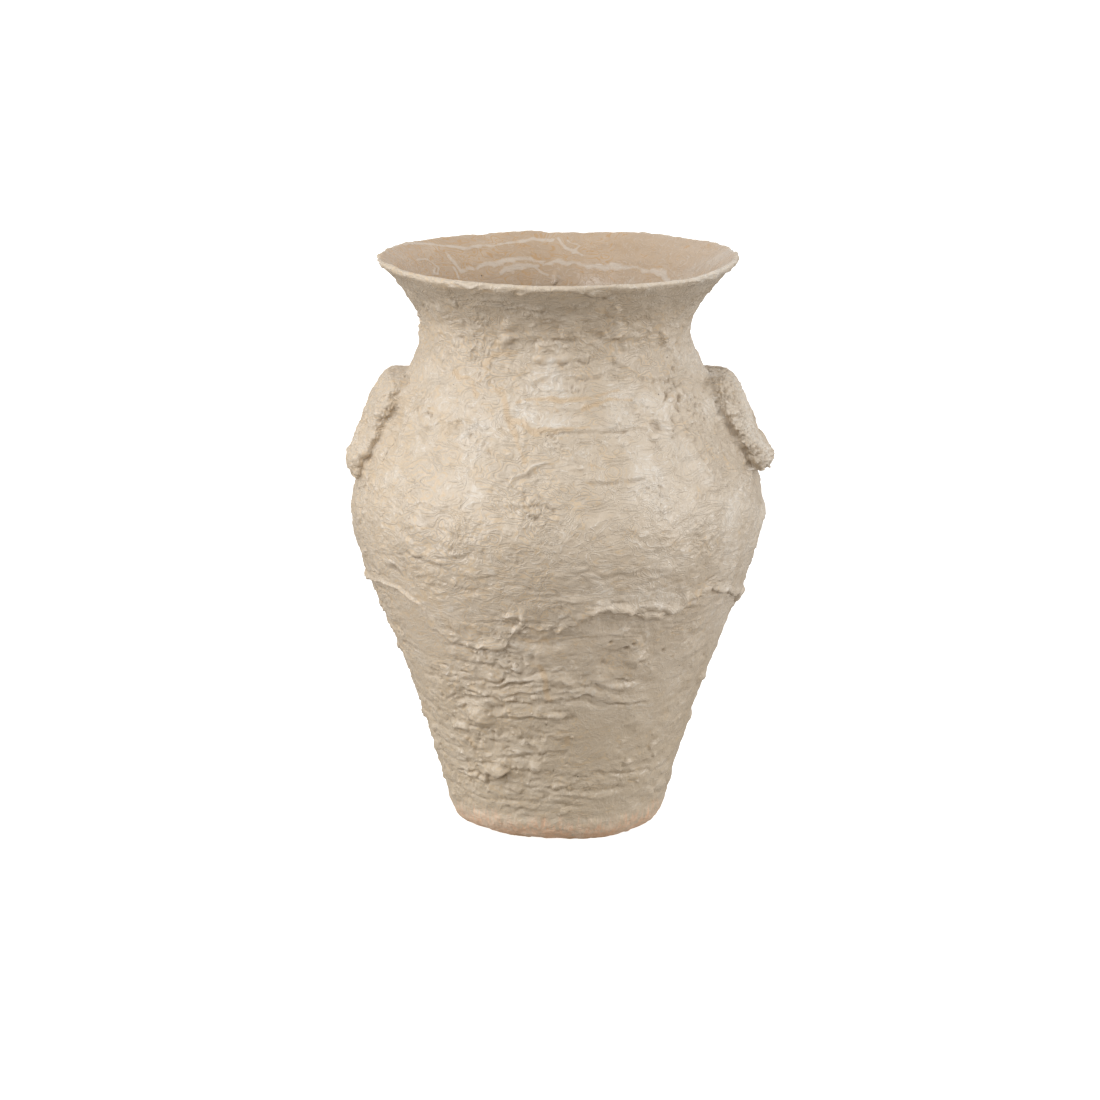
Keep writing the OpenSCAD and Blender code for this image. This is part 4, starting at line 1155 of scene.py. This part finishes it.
left_lug = finish_solid("left_lug", press_lug(-1, 3, .4, [
    (36, 275, 6, 24, 6, 1.4), (36, 294, 8, 8, 0, 1.2), (34, 261, 10, 9, 0, 1.4), (39, 287.5, 5, 1.4, 0, -.4),
    (36, 254, 9, 1.6, 10, -.6), (30, 249, 9, 6, 0, .3), (6, 256, 12, 8, 0, 1.2), (24, 304, 8, 6, 0, 1.2),
    (20, 280, 12, 4, 10, -1.2)]))
right_lug = finish_solid("right_lug", press_lug(1, 4, 1.15, [
    (38, 259, 9, 6, 10, 2.8), (12, 260, 12, 6, 0, 1.6), (35, 293, 7, 5, 30, 1.4), (30, 304, 8, 4, 0, 1.4),
    (36, 273, 6, 8, 0, 1.0), (-26, 262, 10, 7, 0, 2.0), (10, 285, 14, 3, 8, -1.2)]))


# Clay dabs: pellets pressed on the neck and the lower wall with a fingertip, to fill and to fasten.
# Crumbs that the fingers dropped stuck to the wall beside the lugs and along the strip.
DABS = [(-95, 347.1, 6, 6), (-85, 358.8, 7.5, 7.5), (-69, 370.5, 5.3, 5.3), (-65, 356.9, 6, 6),
        (-109, 360.8, 5.3, 5.3), (-128, 339.3, 5.3, 5.3), (-40, 347.1, 6, 6), (25, 343.2, 6.8, 6.8),
        (70, 351, 6, 6), (112, 341.3, 7.5, 7.5), (150, 351, 5.3, 5.3), (-63, 138.5, 7.5, 7.5),
        (-121, 93.6, 7.5, 7.5), (-116, 56.6, 6.8, 6.8), (35, 117, 7.5, 7.5), (95, 85.8, 6, 6),
        (140, 128.7, 6.8, 6.8)]
DAB_OUT, DAB_ROOT = .38, 1.8


def press_pellets(pellets, rings, sides, seed):
    """Low domes that follow the wall: (angle, height, half width, half height), each a closed solid"""
    reach = np.linspace(0, 1, rings + 1)[1:]
    turn = np.arange(sides) * 2 * math.pi / sides
    places, outs, where, quads, fans, first = [], [], [], [], [], 0
    for k, (angle, z, wide, tall) in enumerate(pellets):
        edge = 1.25 * (1 + .09 * ragged(np.degrees(turn), [(1, 1), (2, 1)], seed + k))
        run = run_at(z) + np.outer(reach, edge * np.sin(turn)) * tall
        at = angle + np.degrees(np.outer(reach, edge * np.cos(turn)) * wide / np.interp(run, RUN, LINE_R))
        high = min(wide, tall) * DAB_OUT
        lift = high * (1 - reach ** 2) ** 1.5 - .4 * reach ** 4
        dome = at, run, np.repeat(lift[:, None], sides, 1)
        skirt = at[-1], run[-1], np.full(sides, -DAB_ROOT)
        tips = np.full(2, angle), np.full(2, run_at(z)), np.array([high, -DAB_ROOT])
        for part_at, part_run, part_lift in (dome, skirt, tips):
            points, out = on_wall(part_at, part_run, part_lift)
            places.append(points.reshape(-1, 3))
            outs.append(out.reshape(-1, 3))
            where.append(np.stack([part_at.ravel(), part_run.ravel()]))
        tip = first + (rings + 1) * sides
        quads.append(grid_faces(rings + 1, sides, first))
        fans += [fan(first, sides, tip, turned=True), fan(tip - sides, sides, tip + 1)]
        first = tip + 2
    out, (at, run) = np.concatenate(outs), np.concatenate(where, 1)
    mesh = plain_mesh("pellets", np.concatenate(places), np.concatenate(quads), np.concatenate(fans))
    if read_off(mesh, "normal", 3)[0] @ out[0] < 0:
        mesh.flip_normals()
    make_ready(mesh, out, marks_on(at, run, np.interp(run, RUN, LINE_R), np.ones(first)))
    return work_clay(mesh, ALL_STEPS, cream_glaze)


clay_dabs = finish_solid("clay_dabs", press_pellets(DABS, 12, 40, 40))
# Where crumbs stuck: (angle, height, spread in degrees, spread in mm, how many)
CRUMBS = [(-34, 296, 7, 12, 34), (-21, 247, 5, 7, 40), (-33, 290, 5, 14, 30), (-152, 246, 9, 7, 40),
          (-70, 176, 9, 3, 18), (-53, 181, 6, 3, 16), (-116, 110, 22, 40, 60), (-62, 140, 5, 9, 16),
          (28, 262, 8, 22, 26), (150, 270, 8, 26, 26), (100, 120, 60, 50, 70), (-95, 300, 60, 40, 46),
          (80, 290, 70, 40, 46)]


def drop_crumbs():
    """Crumbs strewn round those places, small ones oftener"""
    luck = np.random.default_rng(71)
    crumbs = []
    for angle, z, spread_a, spread_z, count in CRUMBS:
        for _ in range(count):
            size = .7 + 1.7 * luck.uniform(0, 1) ** 2.4
            at, height = luck.normal(angle, spread_a / 2), float(np.clip(luck.normal(z, spread_z / 2), 24, 376))
            crumbs.append((at, height, size * luck.uniform(.8, 1.4), size))
    return press_pellets(crumbs, 3, 9, 400)


crumbs = finish_solid("crumbs", drop_crumbs(), has_node=False)


# Table, lights and camera: a pale table, a soft light high on the left and one low at each side, and
# the photograph's view.
table_mesh = plain_mesh("table", [(-12, -12, 0), (12, -12, 0), (12, 12, 0), (-12, 12, 0)], [(0, 1, 2, 3)])
table = bpy.data.objects.new("table", table_mesh)
bpy.context.scene.collection.objects.link(table)
paper, paper_tree, paper_shader = new_finish("pale_table")
feed(paper_tree, paper_shader, {"Base Color": (.9, .9, .9, 1), "Roughness": .9,
                                "Emission Color": (1, 1, 1, 1), "Emission Strength": .9})
table_mesh.materials.append(paper)
table.visible_diffuse = False
table.visible_glossy = False

bpy.context.scene.view_settings.view_transform = "Standard"
world = bpy.data.worlds.new("studio")
bpy.context.scene.world = world
world.use_nodes = True
sky = world.node_tree
up = part_of(sky, lay(sky, "ShaderNodeTexCoord"), 2)
glow = blend_colour(sky, up.rise(-.25, .6), (.38, .345, .305, 1), (.86, .86, .86, 1))
seen_direct = lay(sky, "ShaderNodeLightPath")
feed(sky, sky.nodes["Background"], {"Color": blend_colour(sky, seen_direct, glow, (1, 1, 1, 1))})


def soft_light(name, at, aim, size, power, colour=(1, 1, 1)):
    """A round area light that points at a place"""
    lamp = bpy.data.lights.new(name, "AREA")
    lamp.shape, lamp.size, lamp.energy, lamp.color = "DISK", size, power, colour
    holder = bpy.data.objects.new(name, lamp)
    holder.location = at
    x, y, z = np.array(aim) - np.array(at)
    holder.rotation_euler = (math.atan2(math.hypot(x, y), -z), 0, math.atan2(y, x) - math.pi / 2)
    bpy.context.scene.collection.objects.link(holder)


soft_light("key", (-1.3, -1.5, 1.9), (0, 0, .25), 1.1, 15)
soft_light("left", (-2.0, -.6, .5), (0, 0, .2), 1.3, 17.4, (.97, 1, 1.05))
soft_light("right", (2.0, -.6, .5), (0, 0, .2), 1.3, 16.5)

eye = bpy.data.cameras.new("camera")
eye.lens, eye.sensor_width = 131.0, 36.0
eye.shift_x, eye.shift_y = -.00682, -.0121
eye.clip_start, eye.clip_end = .1, 60
CAMERA_DOWN = 13.03
camera = bpy.data.objects.new("camera", eye)
camera.location = (0, -2.66625, .81516)
camera.rotation_euler = (math.radians(90 - CAMERA_DOWN), 0, 0)
bpy.context.scene.collection.objects.link(camera)
bpy.context.scene.camera = camera
